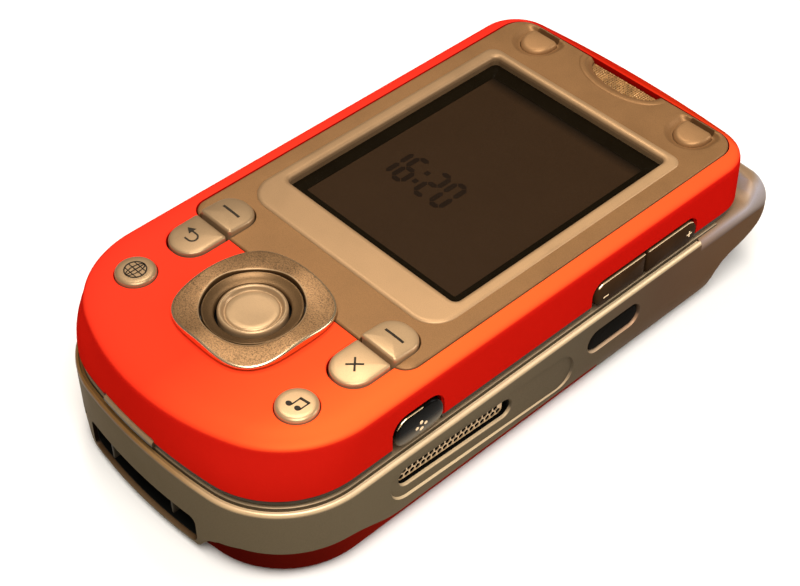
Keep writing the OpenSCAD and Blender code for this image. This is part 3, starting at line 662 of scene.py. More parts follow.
# openings in the right wall for the rocker and the camera button, and the notch at the end
cut(shell, along_x(stack(rr_fn(8.25, 10, 28.35, 17.85, (0.2, 0.2, 1.9, 1.9), 8), [(0, 18), (0, 22.25), (-0.12, 22.38), (-0.12, 26)])))
cut(shell, along_x(stack(rr_fn(-26.15, 10, -17.95, 18.75, (0.2, 0.2, 2.3, 2.3), 8), [(0, 18), (0, 22.25), (-0.12, 22.38), (-0.12, 26)])))
cut(shell, merge(loft([[(-8.0, -50, 13), (2.5, -50, 13), (2.5, -44.0, 13), (-8.0, -44.0, 13)],
                       [(-8.0, -50, 14.75), (2.5, -50, 14.75), (2.5, -44.0, 14.75), (-8.0, -44.0, 14.75)],
                       [(-7.7, -50, 14.98), (2.2, -50, 14.98), (2.2, -44.0, 14.98), (-7.7, -44.0, 14.98)]])))
piece(shell, "flip_shell_skin", ORANGE, "flip", ["flip_shell"])

# ---------------------------------------------------------------- flip: bezel
plate = raw("plate", stack(rr_fn(-20.05, -21.85, 20.05, 39.15, (2.2, 2.2, 3.5, 3.5), 10), [
    (0, 20.7), (0, 21.92), (0.05, 22.05), (0.16, 22.15), (0.32, 22.2), (2.0, 22.2)]))
cut(plate, prism(rr(-16.4, -13.6, 16.4, 30.2, 1.0), 19, 24))
for s in (-1, 1):
    cut(plate, opening(rr_fn(s * KEY_X - 3.11, -28.6, s * KEY_X + 3.11, -16.17, (2.4, 2.4, 2.6, 2.6), 10), 19, 22.2, 0.12))
cut(plate, opening(lambda d: nav_fn(d + 0.58), 19, 22.2, 0.05))


def bowl(cx, cy, rx, ry, depth, z, n=56, rings=7):
    """Shallow round-bottomed dish cutter under height z."""
    rows = []
    for k in range(rings + 1):
        t = k / rings
        rows.append([(cx + rx * (1 - t) * math.cos(2 * math.pi * i / n), cy + ry * (1 - t) * math.sin(2 * math.pi * i / n),
                      z - depth * (1 - (1 - t) ** 2) ** 1.0) for i in range(n)])
    rows.pop()
    rows = rows[::-1]
    rows.append([(x, y, z + 1.5) for x, y, _ in rows[-1]])
    return loft(rows)


def game_fn(s):
    """D-shaped plan: half round towards the display, flat towards the end."""
    def fn(d):
        cx = s * 14.2
        e = d if d > 0 else 0.35 * d
        pts = [(cx + (2.45 - d) * math.cos(math.radians(a)), 36.5 + (2.65 - d) * math.sin(math.radians(a))) for a in range(180, 361, 9)]
        return pts + [(cx + 2.45 - d, 37.4), (cx + 2.38 - d, 37.75 - e * 0.4), (cx + 2.12 - d, 38.0 - e * 0.8), (cx + 1.7 - d * 0.8, 38.15 - e), (cx - 1.7 + d * 0.8, 38.15 - e),
                      (cx - 2.12 + d, 38.0 - e * 0.8), (cx - 2.38 + d, 37.75 - e * 0.4), (cx - 2.45 + d, 37.4)]
    return fn


for s in (-1, 1):
    # moat round the key: rounded outer edge, sloping side, floor
    cut(plate, stack(game_fn(s), [(-0.07, 19), (-0.07, 21.52), (-0.3, 21.55), (-0.55, 21.66), (-0.8, 21.86), (-1.0, 22.04), (-1.2, 22.15), (-1.45, 22.21), (-1.45, 24)]))
    cut(plate, prism(rr(s * 14.2 - 1.9, 38.2, s * 14.2 + 2.1, 38.78, 0.2, 4), 20.75, 24))


def oval(rx, ry, n=80):
    return [(rx * math.cos(2 * math.pi * i / n), 39.25 + ry * math.sin(2 * math.pi * i / n)) for i in range(n)]


# earpiece recess: half oval under the lip, sloping down to the mesh
cut(plate, loft([ring_at(oval(a, b), z) for a, b, z in ((5.85, 2.75, 20.0), (5.85, 2.75, 21.5), (5.98, 2.9, 21.6), (6.2, 3.18, 21.8), (6.45, 3.5, 22.0), (6.7, 3.8, 22.12), (7.0, 4.15, 22.19), (7.2, 4.4, 22.21), (7.2, 4.4, 24))]))
piece(plate, "bezel_plate", BEZEL, "flip", ["flip_bezel"])

# raised display frame with its rounded inner edge
o_fn = rr_fn(-17.6, -14.9, 17.6, 30.75, (3.9, 3.9, 1.7, 1.7), 10)
i_fn = rr_fn(-15.72, -9.45, 15.72, 29.38, 0.9, 10)
rows = [ring_at(o_fn(d), z) for d, z in ((0, 22.0), (0, 22.18), (0.05, 22.28), (0.18, 22.37), (0.4, 22.43), (0.62, 22.45))]
rows += [ring_at(i_fn(d), z) for d, z in ((-0.68, 22.45), (-0.45, 22.43), (-0.25, 22.36), (-0.1, 22.24), (-0.02, 22.08), (0, 21.9), (0, 20.9), (-0.7, 20.9), (-0.7, 22.0))]
piece(loft(rows, wrap=True), "display_frame", FRAME, "flip")

# display: mask with an opening, picture area, clock segments, cover window
rows = [ring_at(rr(-16.3, -13.4, 16.3, 30.1, 0.9), 20.3), ring_at(rr(-16.3, -13.4, 16.3, 30.1, 0.9), 20.74), ring_at(rr(-13.95, -7.7, 13.85, 27.2, 0.25), 20.74),
        ring_at(rr(-13.85, -7.6, 13.75, 27.1, 0.2), 20.66), ring_at(rr(-13.85, -7.6, 13.75, 27.1, 0.2), 20.3)]
piece(loft(rows, wrap=True), "display_mask", MASK, "flip")
piece(rounded(rr_fn(-14.6, -8.4, 14.6, 27.4, 0.3), 20.2, 20.6, 0, 0.05), "display_face", LCD, "flip")
SEG = {"0": "abcdef", "1": "bc", "2": "abged", "6": "afgedc"}


def segment_digit(ch, x0, y0, w, h, t):
    """Seven-bar numeral with chamfered bar ends."""
    m = y0 + h / 2
    bars = {"a": ((x0, y0 + h), (x0 + w, y0 + h)), "g": ((x0, m), (x0 + w, m)), "d": ((x0, y0), (x0 + w, y0)),
            "f": ((x0, m), (x0, y0 + h)), "b": ((x0 + w, m), (x0 + w, y0 + h)), "e": ((x0, y0), (x0, m)), "c": ((x0 + w, y0), (x0 + w, m))}
    out = []
    for k in SEG[ch]:
        (ax, ay), (bx, by) = bars[k]
        ux, uy = (bx - ax), (by - ay)
        ln = math.hypot(ux, uy)
        ux, uy = ux / ln, uy / ln
        g = 0.08
        p = (ax + ux * g, ay + uy * g)
        q = (bx - ux * g, by - uy * g)
        nx, ny = -uy * t / 2, ux * t / 2
        e = t / 2
        out.append(patch([p, (p[0] + ux * e - nx, p[1] + uy * e - ny), (q[0] - ux * e - nx, q[1] - uy * e - ny), q,
                          (q[0] - ux * e + nx, q[1] - uy * e + ny), (p[0] + ux * e + nx, p[1] + uy * e + ny)], lambda x, y: 20.6, 0.03))
    return out


bits = []
x = -9.7
for ch in "16:20":
    if ch == ":":
        for yy in (3.9, 6.1):
            bits.append(patch(rr(x - 0.35, yy - 0.4, x + 0.4, yy + 0.4, 0.1), lambda x, y: 20.6, 0.03))
        x += 1.25
    elif ch == "1":
        bits += segment_digit(ch, x - 1.4, 2.4, 1.6, 5.2, 0.78)
        x += 1.35
    else:
        bits += segment_digit(ch, x, 2.4, 1.75, 5.2, 0.78)
        x += 2.95
piece(merge(*bits), "clock_segments", DIGIT, "flip")
piece(rounded(rr_fn(-15.65, -9.38, 15.65, 29.3, 0.85), 21.5, 21.75, 0.05, 0.08), "display_window_pane", GLASS, "flip", ["display_window"])

# ---------------------------------------------------------------- flip: navigation ring
N = 180


def nav_ring_parts():
    ring_rows, dish_rows = [], []
    for i in range(N):
        t = 2 * math.pi * i / N
        c, s = math.cos(t), math.sin(t)
        w = (0.5 + 0.5 * math.cos(4 * t)) ** 1.25
        ro = nav_r(t)
        zo = 23.00 + 0.58 * w
        zi = 23.20 + 0.34 * w
        # inner circle is centred on the swivel axis, the outer plan 0.2 further up
        ri = 6.38
        prof = [(ro - 0.98, 21.6), (ro - 0.96, 22.57), (ro - 0.10, 22.60), (ro, 22.62), (ro, zo - 0.36), (ro - 0.02, zo - 0.24), (ro - 0.07, zo - 0.13), (ro - 0.17, zo - 0.05), (ro - 0.30, zo)]
        for k in range(1, 9):
            q = k / 9
            r = (ro - 0.30) * (1 - q) + (ri + 0.26) * q
            z = zo * (1 - q) + zi * q + 0.05 * math.sin(math.pi * q) * (1 - w)
            prof.append((r, z))
        prof += [(ri + 0.22, zi), (ri + 0.09, zi - 0.04), (ri + 0.02, zi - 0.13), (ri, zi - 0.28), (ri, 22.6), (ri, 21.6)]
        row = []
        for r, z in prof:
            q = min(1, max(0, (r - ri) / (ro - ri)))
            row.append((r * c, PIVOT_Y + (NAV_Y - PIVOT_Y) * q + r * s, z))
        ring_rows.append(row)
    k = len(ring_rows[0])
    rings = [[ring_rows[i][j] for i in range(N)] for j in range(k)]
    return loft(rings, wrap=True), k


part, kk = nav_ring_parts()
ob = raw("nav", part)
for p in ob.data.polygons:
    # rows of faces from the foot of the outer wall over the top to the inner wall; the skirt, underside and inner wall
    # take the ring's painted shade
    row = p.index // N
    p.material_index = 3 if row in (2, 3, 4) else 2 if row in (0, 1, 18, 19, 20, 21, 22) else 1 if row in (5, 6, 7) else 4 if row == 17 else 0
piece(ob, "nav_ring_skin", [NAV, POLISH, NAV_SHADE, MIRROR, KEYS], "nav_ring", ["nav_ring"], angle=60, weighted=False)
piece(ring_solid([(4.72, 21.6), (4.72, 22.45), (4.8, 22.56), (4.95, 22.6), (5.25, 22.66), (5.55, 22.78), (5.8, 22.92), (5.98, 23.04), (6.08, 23.08), (6.16, 23.04), (6.2, 22.9), (6.22, 21.6)], 0, PIVOT_Y, 120),
      "nav_ring_dish", DISH, "nav_ring", angle=60, weighted=False)

piece(revolve([(0, 19.4), (4.3, 19.4), (4.36, 22.4), (4.34, 22.64), (4.27, 22.81), (4.15, 22.91), (4.0, 22.94), (3.86, 22.9), (3.76, 22.79), (3.68, 22.62), (3.6, 22.47),
               (3.5, 22.38), (3.4, 22.38), (3.33, 22.46), (3.24, 22.52), (3.1, 22.55), (2.4, 22.54), (1.2, 22.52), (0, 22.51)], 0, PIVOT_Y, 120),
      "centre_button_skin", KEYS, "centre_button", ["centre_button"], angle=40, weighted=False)
# Matt black collar under the gap round the button: a dark piece that stands in for the shade down in the gap.
piece(ring_solid([(4.25, 20.7), (5.15, 20.7), (5.15, 20.95), (4.25, 20.95)], 0, PIVOT_Y, 96), "centre_button_shade_collar", SOOT, "centre_button")


# ---------------------------------------------------------------- flip: keys
def crown(cx, cy, z, kx, ky, sx=0.0, sy=0.0):
    return lambda x, y: z - kx * (x - cx) ** 2 - ky * (y - cy) ** 2 + sx * (x - cx) + sy * (y - cy)


for s, nm, low in ((-1, "left", "back_key"), (1, "right", "clear_key")):
    cx = s * KEY_X
    top = crown(cx, -21.0, 23.15, 0.020, 0.008, 0.0, -0.045)
    pts = rr(cx - 3.0, -21.75, cx + 3.0, -16.3, (0.45, 0.45, 2.6, 2.6), 10)
    ob = piece(pillow(pts, (cx, -19.3), 19.2, 0.36, top), "soft_key_%s_skin" % nm, KEYS, "soft_key_" + nm, ["soft_key_" + nm], angle=50, weighted=False)
    piece(ribbon([(cx - 1.55, -19.0), (cx - 0.5, -19.0), (cx + 0.5, -19.0), (cx + 1.55, -19.0)], 0.36, top), "soft_key_%s_dash" % nm, INK, "soft_key_" + nm)
    top = crown(cx, -24.0, 22.78, 0.012, 0.012, 0.0, 0.01)
    pts = rr(cx - 3.0, -28.4, cx + 3.0, -22.2, (2.95, 2.95, 0.4, 0.4), 12)
    piece(pillow(pts, (cx, -25.2), 19.2, 0.34, top), low + "_skin", KEYS, low, [low], angle=50, weighted=False)
    if s < 0:
        marks = [ribbon([(cx - 1.1, -24.75), (cx + 0.15, -24.75)] + arc(cx + 0.2, -25.45, 0.7, 90, -90, 12) + [(cx - 0.5, -26.15)], 0.24, top),
                 patch([(cx - 1.65, -24.75), (cx - 0.62, -25.35), (cx - 0.62, -24.15)], top)]
    else:
        marks = [ribbon([(cx - 0.78, -26.08), (cx, -25.3), (cx + 0.78, -24.52)], 0.26, top), ribbon([(cx - 0.78, -24.52), (cx, -25.3), (cx + 0.78, -26.08)], 0.26, top)]
    piece(merge(*marks), low + "_mark", INK, low)

for s, nm in ((-1, "web_key"), (1, "music_key")):
    cx = s * KEY_X
    piece(revolve([(0, 19.2), (2.6, 19.2), (2.65, 22.2), (2.62, 22.42), (2.52, 22.58), (2.36, 22.68), (2.14, 22.73), (1.7, 22.74), (0.9, 22.75), (0, 22.75)], cx, -34.2, 72),
          nm + "_skin", KEYS, nm, [nm], angle=50, weighted=False)
    flat = lambda x, y: 22.75
    if s < 0:
        marks = [ribbon(arc(cx, -34.2, 1.4, 0, 350, 35), 0.18, flat, closed=True), ribbon(arc(cx, -34.2, 0.6, 0, 350, 30, 1.4), 0.15, flat, closed=True),
                 ribbon([(cx - 1.35, -34.2), (cx + 1.35, -34.2)], 0.15, flat), ribbon([(cx, -35.55), (cx, -32.85)], 0.15, flat),
                 ribbon([(cx - 1.15, -33.45), (cx + 1.15, -33.45)], 0.13, flat), ribbon([(cx - 1.15, -34.95), (cx + 1.15, -34.95)], 0.13, flat)]
    else:
        marks = [patch(arc(cx - 0.64, -34.84, 0.42, 0, 340, 17, 0.35), flat), patch(arc(cx + 0.62, -34.62, 0.42, 0, 340, 17, 0.35), flat),
                 ribbon([(cx - 0.28, -34.8), (cx - 0.28, -33.3)], 0.17, flat), ribbon([(cx + 0.98, -34.58), (cx + 0.98, -33.08)], 0.17, flat),
                 ribbon([(cx - 0.36, -33.38), (cx + 1.06, -33.16)], 0.34, flat)]
    piece(merge(*marks), nm + "_mark", INK, nm)

for s, nm in ((-1, "left"), (1, "right")):
    cx = s * 14.2
    top = crown(cx, 37.4, 22.34, 0.014, 0.03)
    piece(pillow(game_fn(s)(0.0), (cx, 36.3), 19.2, 0.6, top, 8), "game_key_%s_skin" % nm, GAMEKEY, "game_key_" + nm, ["game_key_" + nm], angle=60, weighted=False)

lip_bar = [(0.5 * math.cos(math.radians(a)), 0.15 * math.sin(math.radians(a))) for a in range(0, 360, 24)]
piece(sweep([(7.25 * math.cos(math.radians(a)), 39.25 + 4.3 * math.sin(math.radians(a)), 22.17) for a in range(187, 354, 3)], lip_bar, (0, 0, 1)),
      "receiver_lip", BEZEL, "flip", angle=70, weighted=False)

# earpiece mesh: woven look from two crossing rows of fine bars
half = [(x, min(y, 39.1)) for x, y in oval(5.83, 2.73)]
piece(loft([ring_at(half, 20.95), ring_at(half, 21.22)]), "receiver_felt", DARK, "flip")
thread = [(0.11 * math.cos(math.radians(a)), 0.10 * math.sin(math.radians(a))) for a in range(0, 360, 60)]
bars = []
for i in range(-15, 16):
    xx = i * 0.38
    low = 39.25 - 2.66 * math.sqrt(1 - (xx / 5.75) ** 2)
    if low < 38.8:
        bars.append(sweep([(xx, low + (39.05 - low) * k / 8, 21.3 + (0.06 if (k + i) % 2 else -0.03)) for k in range(9)], thread))
for j in range(7):
    yy = 36.72 + j * 0.37
    wide = 5.75 * math.sqrt(max(0.0, 1 - ((yy - 39.25) / 2.66) ** 2))
    bars.append(sweep([(-wide + 2 * wide * k / 30, yy, 21.3 + (0.06 if (k + j) % 2 else -0.03)) for k in range(31)], thread))
piece(merge(*bars), "receiver_weave", BRONZE, "flip", ["receiver_mesh"])

# ---------------------------------------------------------------- flip: side controls
def side_button(y0, y1, z0, z1, x_in, x_out, r, bulge):
    """Button standing out of the right wall: rounded plan in (y, z), domed outer face."""
    cy, cz = (y0 + y1) / 2, (z0 + z1) / 2
    pts = rr(y0, z0, y1, z1, r, 8)
    hy, hz = (y1 - y0) / 2, (z1 - z0) / 2
    top = lambda y, z: x_out - bulge * abs((z - cz) / hz) ** 2.2 - 0.35 * bulge * abs((y - cy) / hy) ** 4
    v, f = pillow(pts, (cy, cz), x_in, 0.35, top)
    return along_x((v, f))


piece(merge(side_button(8.6, 18.05, 13.75, 17.5, 20.9, 23.05, (1.6, 0.3, 0.3, 1.6), 0.25), side_button(18.4, 28.0, 13.75, 17.5, 20.9, 23.05, (0.3, 1.6, 1.6, 0.3), 0.25)),
      "volume_rocker_skin", ROCKER, "volume_rocker", ["volume_rocker"], angle=50, weighted=False)
# Painted highlights: thin polished wires laid along the rocker's top edge and round its ends; the small bars are the
# minus and plus marks.
highlight_section = [(0.13 * math.cos(math.radians(a)), 0.13 * math.sin(math.radians(a))) for a in range(0, 360, 45)]
left_highlight_run = [(22.64, y, z) for y, z in arc(10.25, 15.95, 1.45, 200, 90, 10)] + [(22.64, y, 17.4) for y in (12.0, 14.0, 16.0, 17.9)]
right_highlight_run = [(22.64, y, 17.4) for y in (18.6, 20.5, 22.5, 24.5)] + [(22.64, y, z) for y, z in arc(26.35, 15.95, 1.45, 90, 30, 8)]
bits = [sweep(left_highlight_run, highlight_section, (1, 0, 0)), sweep(right_highlight_run, highlight_section, (1, 0, 0))]
for y0, z0, y1, z1 in ((9.75, 15.24, 10.75, 15.46), (25.9, 15.74, 26.9, 15.96), (26.29, 15.35, 26.51, 15.74), (26.29, 15.96, 26.51, 16.35)):
    bits.append(along_x(prism(rr(y0, z0, y1, z1, 0.06, 3), 22.8, 23.07)))
piece(merge(*bits), "volume_rocker_marks_and_painted_highlight", POLISH, "volume_rocker")
piece(side_button(-25.9, -18.2, 13.75, 18.4, 20.8, 23.08, 2.1, 0.45), "camera_button_skin", CAMKEY, "camera_button", ["camera_button"], angle=50, weighted=False)
bits = []
for y, z in ((-22.75, 15.9), (-22.05, 16.45), (-22.0, 15.4), (-21.35, 15.95)):
    v, f = revolve([(0, 22.7), (0.36, 22.7), (0.36, 23.03), (0.25, 23.08), (0, 23.10)], 0, 0, 18)
    bits.append(([(c, y + a, z + b) for a, b, c in v], f))
# Painted highlight: a thin polished wire along the button's top edge and round its upper end, next to the four raised
# dots.
highlight_section = [(0.09 * math.cos(math.radians(a)), 0.09 * math.sin(math.radians(a))) for a in range(0, 360, 45)]
bits.append(sweep([(22.62, y, z) for y, z in arc(-23.8, 16.3, 1.98, 165, 90, 9)] + [(22.62, y, 18.28) for y in (-23.0, -22.2, -21.4)], highlight_section, (1, 0, 0)))
piece(merge(*bits), "camera_button_dots_and_painted_highlight", POLISH, "camera_button")

# back plate of the flip with its end tab
bp = raw("bp", stack(lambda d: flip_o(0.25 + d), [(0.30, 13.4), (0.08, 13.45), (0, 13.6), (0, 14.0), (0.1, 14.15), (1.6, 14.15)]))
cut(bp, prism(circle_fn(0, PIVOT_Y, 4.05)(0), 13, 15))
for y in (-8, 31):
    for s in (-1, 1):
        cut(bp, prism(circle_fn(s * 19.85, y, 1.4, 32)(0), 13, 13.85))
cut(bp, box(19.6, 8.25, 13, 30, 28.35, 15))
cut(bp, box(19.6, -26.15, 13, 30, -17.95, 15))
piece(bp, "flip_back_skin", DARK, "flip", ["flip_back_plate"])
tab = raw("tab", stack(lambda d: flip_o(d - 0.22), [(0.3, 13.42), (0.06, 13.5), (0, 13.62), (0, 13.98), (0.05, 14.16), (0.16, 14.32), (0.34, 14.42), (0.6, 14.46), (1.3, 14.46)]))
cut(tab, box(-7.75, -60, 13, 2.25, -44.5, 15), "INTERSECT")
piece(tab, "flip_end_tab", TAB, "flip")

# ---------------------------------------------------------------- base
TUB = [(3.6, 0.0), (2.6, 0.12), (1.7, 0.55), (1.0, 1.3), (0.5, 2.3), (0.18, 3.5), (0.03, 4.7), (0, 5.6), (0, 8.0), (0, 11.2), (0, 11.98), (0.04, 12.04), (0.5, 12.04)]


def cover_region(grow):
    """Side view (y, z) of the part of the base that the rear cover takes."""
    top = []
    for i in range(25):
        q = i / 24
        y = -34 + 9 * q
        sm = q * q * (3 - 2 * q)
        top.append((y, 5.35 * (1 - sm) + 2.75 * sm + grow))
    pts = [(-60, -2), (10.1 + grow, -2), (10.1 + grow, 2.75 + grow)] + list(reversed(top)) + [(-60, 5.35 + grow)]
    return along_x(prism(pts, -40, 40))


nose_pts = [(32.4, -2.0), (32.4, 0.6), (32.55, 1.9), (32.95, 3.2), (33.7, 4.5), (34.9, 5.6), (36.4, 6.2), (38.0, 6.55), (39.5, 6.95), (40.9, 7.55), (42.0, 8.3), (43.0, 9.2),
            (44.0, 10.0), (45.0, 10.7), (45.9, 11.35), (46.6, 12.2), (60, 12.2), (60, -2)]


def connector_block(grow):
    """Front view (x, z) of the housing that stays around the connector, between the two wings of the rear cover."""
    g = grow
    left = [(-16.8 - g, 9.0), (-16.8 - g, 5.35 - g), (-15.4 - g, 4.8 - g), (-14.3 - g, 3.8 - g), (-13.7 - g, 2.4 - g), (-13.2 - g, 1.5 - g), (-12.4 - g, 1.0 - g)]
    right = [(8.6 + g, 1.0 - g), (9.5 + g, 1.6 - g), (10.2 + g, 2.6 - g), (11.1 + g, 3.7 - g), (12.8 + g, 4.7 - g), (15.6 + g, 5.35 - g), (15.6 + g, 9.0)]
    return along_y(prism(left + right, -60, -39.9))


tub = raw("tub", stack(base_o, TUB))
cut(tub, along_x(prism(nose_pts, -40, 40)))
tool = raw("keep", cover_region(0.05))
cut(tool, connector_block(0.0))
cut(tub, take(tool))
# fuller lower lip around the connector
lip = raw("lip", stack(base_o, [(0.55, 0.98), (0.2, 1.04), (0.05, 1.25), (0, 1.7), (0, 6.6)]))
cut(lip, connector_block(-0.02), "INTERSECT")
cut(tub, take(lip), "UNION")
# inner spaces
cut(tub, prism(base_o(1.45), 6.8, 13))
room = raw("room", prism(base_o(1.5), -2, 6.0))
cut(room, box(-30, -40.3, -3, 30, 9.4, 7), "INTERSECT")
cut(tub, take(room))
# system connector pocket: round-cornered mouth with a flared lower lip
cut(tub, along_y(loft([ring_at(rr(-12.2, 2.1, 8.8, 6.2, 0.8, 6), -41.5), ring_at(rr(-12.2, 2.1, 8.8, 6.2, 0.8, 6), -44.9), ring_at(rr(-12.4, 1.75, 9.05, 6.25, 1.0, 6), -45.9),
                       ring_at(rr(-12.45, 1.6, 9.15, 6.27, 1.0, 6), -46.4), ring_at(rr(-12.45, 1.6, 9.15, 6.27, 1.0, 6), -52)])))
for s in (1, -1):
    def flip_side(part, s=s):
        return part if s > 0 else mirror_x(part)
    # shallow recess with a sloping edge, and the speaker slot in it
    cut(tub, flip_side(tilted(along_x(stack(rr_fn(-27.1, 4.85, 4.6, 10.5, 2.7, 10), [(0.02, 22.94), (-0.05, 23.06), (-0.19, 23.26), (-0.19, 26)])))))
    cut(tub, flip_side(tilted(along_x(stack(rr_fn(-25.6, 6.44, -6.3, 9.44, 1.49, 10), [(0, 22.4), (0, 22.72), (-0.06, 22.86), (-0.22, 22.96), (-0.22, 26)])))))
    cut(tub, flip_side(tilted(along_x(prism(rr(-25.6, 5.9, -6.3, 9.44, 1.49, 10), 21, 22.45)))))
cut(tub, along_x(stack(rr_fn(7.45, 6.3, 17.35, 10.0, 1.8, 10), [(0, 21), (0, 22.95), (-0.05, 23.1), (-0.14, 23.26), (-0.14, 26)])))
cut(tub, prism(circle_fn(0, 21, 5.1)(0), -1, 6.2))
cut(tub, prism(circle_fn(-11, 21, 1.95, 32)(0), -1, 6.2))
# the nose piece takes the upper edge beyond the end of the bright rim
RIM_Y = 29.35
cut(tub, box(-40, RIM_Y + 0.1, 10.9, 40, 80, 20))
# small latch notch beside the connector
cut(tub, box(-14.9, -60, 4.6, -14.2, -43.0, 5.8))
for p in tub.data.polygons:
    x, y, z = p.center
    # flared mouth of the connector pocket, which takes the pocket lip's colour and its painted shade
    if -12.6 < x < 9.2 and y < -43.6 and 1.55 < z < 6.4 and p.normal.y > -0.75:
        p.material_index = 1
piece(tub, "base_housing_skin", [GREY, LIP], "base", ["base_housing"])

# nose: rounded shoulder along both sides and the rounded end behind the flip
NOSE_Y = 33.5
edge = [(0.0, 10.9), (0.0, 11.15), (0.05, 11.5), (0.16, 11.85), (0.36, 12.18), (0.64, 12.46), (0.98, 12.66), (1.4, 12.79), (1.9, 12.86)]
side = raw("side", loft([ring_at(base_o(d), z) for d, z in edge[:-1] + [(1.8, 12.80), (1.8, 10.9)]], wrap=True))
cut(side, box(-40, -80, 5, 40, RIM_Y + 0.1, 20))
cut(side, box(-40, NOSE_Y, 5, 40, 80, 20))


def nose_ring(d, z):
    """One ring of the nose; it rises outside the circle that the flip's corners sweep."""
    out = []
    g = min(1.0, d / 2.6)
    g = math.sin(g * math.pi / 2) ** 1.3
    for x, y in base_o(d, 5):
        q = min(1.0, max(0.0, (math.hypot(x, y - PIVOT_Y) - 71.3) / 2.0))
        out.append((x, y, z + 1.75 * g * q * q * (3 - 2 * q)))
    return out


nose = raw("nose", loft([nose_ring(d, z) for d, z in edge + [(d / 4, 12.9) for d in range(9, 28)]]))
cut(nose, box(-40, -80, 5, 40, NOSE_Y, 20))
cut(nose, along_x(prism(nose_pts, -40, 40)))
piece(take(side), "base_shoulders", SILVER, "base")
piece(nose, "base_nose_cap", SILVER, "base", angle=70, weighted=False)

# bright rim round the swivel end and both sides
rim = raw("rim", loft([ring_at(base_o(d), z) for d, z in ((0.05, 12.02), (0.0, 12.06), (0.0, 12.14), (0.03, 12.31), (0.10, 12.46), (0.20, 12.57), (0.32, 12.62), (0.42, 12.61), (0.49, 12.54),
                                                          (0.52, 12.44), (0.54, 12.36), (0.60, 12.33), (0.83, 12.33), (0.83, 12.02))], wrap=True))
cut(rim, box(-40, RIM_Y, 5, 40, 80, 20))
piece(rim, "base_rim", RIM, "base")

# keypad deck inside the rim's groove
fas = raw("fas", stack(base_o, [(1.2, 11.6), (0.9, 11.66), (0.86, 11.8), (0.86, 12.6), (0.90, 12.82), (1.0, 12.9), (2.2, 12.9)]))
cut(fas, box(-40, NOSE_Y - 0.08, 5, 40, 80, 20))
COLS, ROWS = (-12.7, 0.0, 12.7), [-1.5 + 10 * j for j in range(4)]
for cx in COLS:
    for cy in ROWS:
        cut(fas, opening(rr_fn(cx - 5.55, cy - 4.15, cx + 5.55, cy + 4.15, 2.75), 10, 12.9, 0.15))
cut(fas, prism(circle_fn(0, PIVOT_Y, 4.75)(0), 10, 14))
piece(fas, "base_fascia_skin", DECK, "base", ["base_fascia"])

# rear cover
cov = raw("cov", stack(base_o, TUB))
tool = raw("keep", cover_region(-0.05))
cut(tool, connector_block(0.1))
cut(cov, take(tool), "INTERSECT")
cut(cov, prism(base_o(1.4), 1.2, 9))
cut(cov, prism(base_o(1.9), 0.86, 1.4))
piece(cov, "rear_cover_skin", COVER, "rear_cover", ["rear_cover"])

# ---------------------------------------------------------------- base: small parts
# number keys with plain marks, read from the swivel end
def glyph(ch):
    """Strokes of a plain numeral in a box 2 wide and 3 high, y up."""
    g = {
        "1": [[(0.45, 2.4), (1.05, 3.0), (1.05, 0.0)]],
        "2": [arc(1.0, 2.1, 0.9, 170, -35, 12) + [(0.1, 0.0), (1.95, 0.0)]],
        "3": [arc(0.95, 2.25, 0.75, 150, -80, 12), arc(0.95, 0.8, 0.85, 85, -150, 14, 0.8)],
        "4": [[(1.4, 0.0), (1.4, 3.0), (0.1, 0.95), (1.95, 0.95)]],
        "5": [[(1.75, 3.0), (0.4, 3.0), (0.3, 1.65)] + arc(0.95, 0.95, 0.95, 130, -150, 16, 0.95)],
        "6": [[(1.5, 3.0), (0.45, 1.6)] + arc(1.0, 0.92, 0.88, 145, 505, 24, 0.92)],
        "7": [[(0.1, 3.0), (1.9, 3.0), (0.75, 0.0)]],
        "8": [arc(1.0, 2.27, 0.72, 0, 350, 24), arc(1.0, 0.8, 0.88, 0, 350, 24, 0.8)],
        "9": [[(0.5, 0.0), (1.55, 1.4)] + arc(1.0, 2.08, 0.88, -35, 325, 24, 0.92)],
        "0": [arc(1.0, 1.5, 0.88, 0, 352, 28, 1.5)],
        "*": [[(1.0, 2.6), (1.0, 1.0)], [(0.3, 2.2), (1.7, 1.4)], [(0.3, 1.4), (1.7, 2.2)]],
        "#": [[(0.6, 0.4), (0.8, 2.6)], [(1.3, 0.4), (1.5, 2.6)], [(0.15, 1.0), (1.85, 1.0)], [(0.2, 2.0), (1.95, 2.0)]],
    }
    return g[ch]


NUM = [("key_1", "1", 1, 0), ("key_2", "2", 0, 0), ("key_3", "3", -1, 0), ("key_4", "4", 1, 1), ("key_5", "5", 0, 1), ("key_6", "6", -1, 1),
       ("key_7", "7", 1, 2), ("key_8", "8", 0, 2), ("key_9", "9", -1, 2), ("key_star", "*", 1, 3), ("key_0", "0", 0, 3), ("key_hash", "#", -1, 3)]
for nm, ch, c, r in NUM:
    cx, cy = 12.7 * c, -1.5 + 10 * r
    top = crown(cx, cy, 13.12, 0.004, 0.010)
    piece(pillow(rr(cx - 5.4, cy - 4.0, cx + 5.4, cy + 4.0, 2.6, 8), (cx, cy), 9.5, 0.32, top), nm + "_skin", KEYTOP, nm, [nm], angle=50, weighted=False)
    strokes = []
    for line in glyph(ch):
        # turned half round: the keypad is read with the swivel end up
        pts = [(cx - (x - 1.0) * 0.95, cy - (y - 1.5) * 0.95) for x, y in line]
        strokes.append(ribbon(pts, 0.42, top, h=0.02))
    piece(merge(*strokes), nm + "_mark", INK, nm)

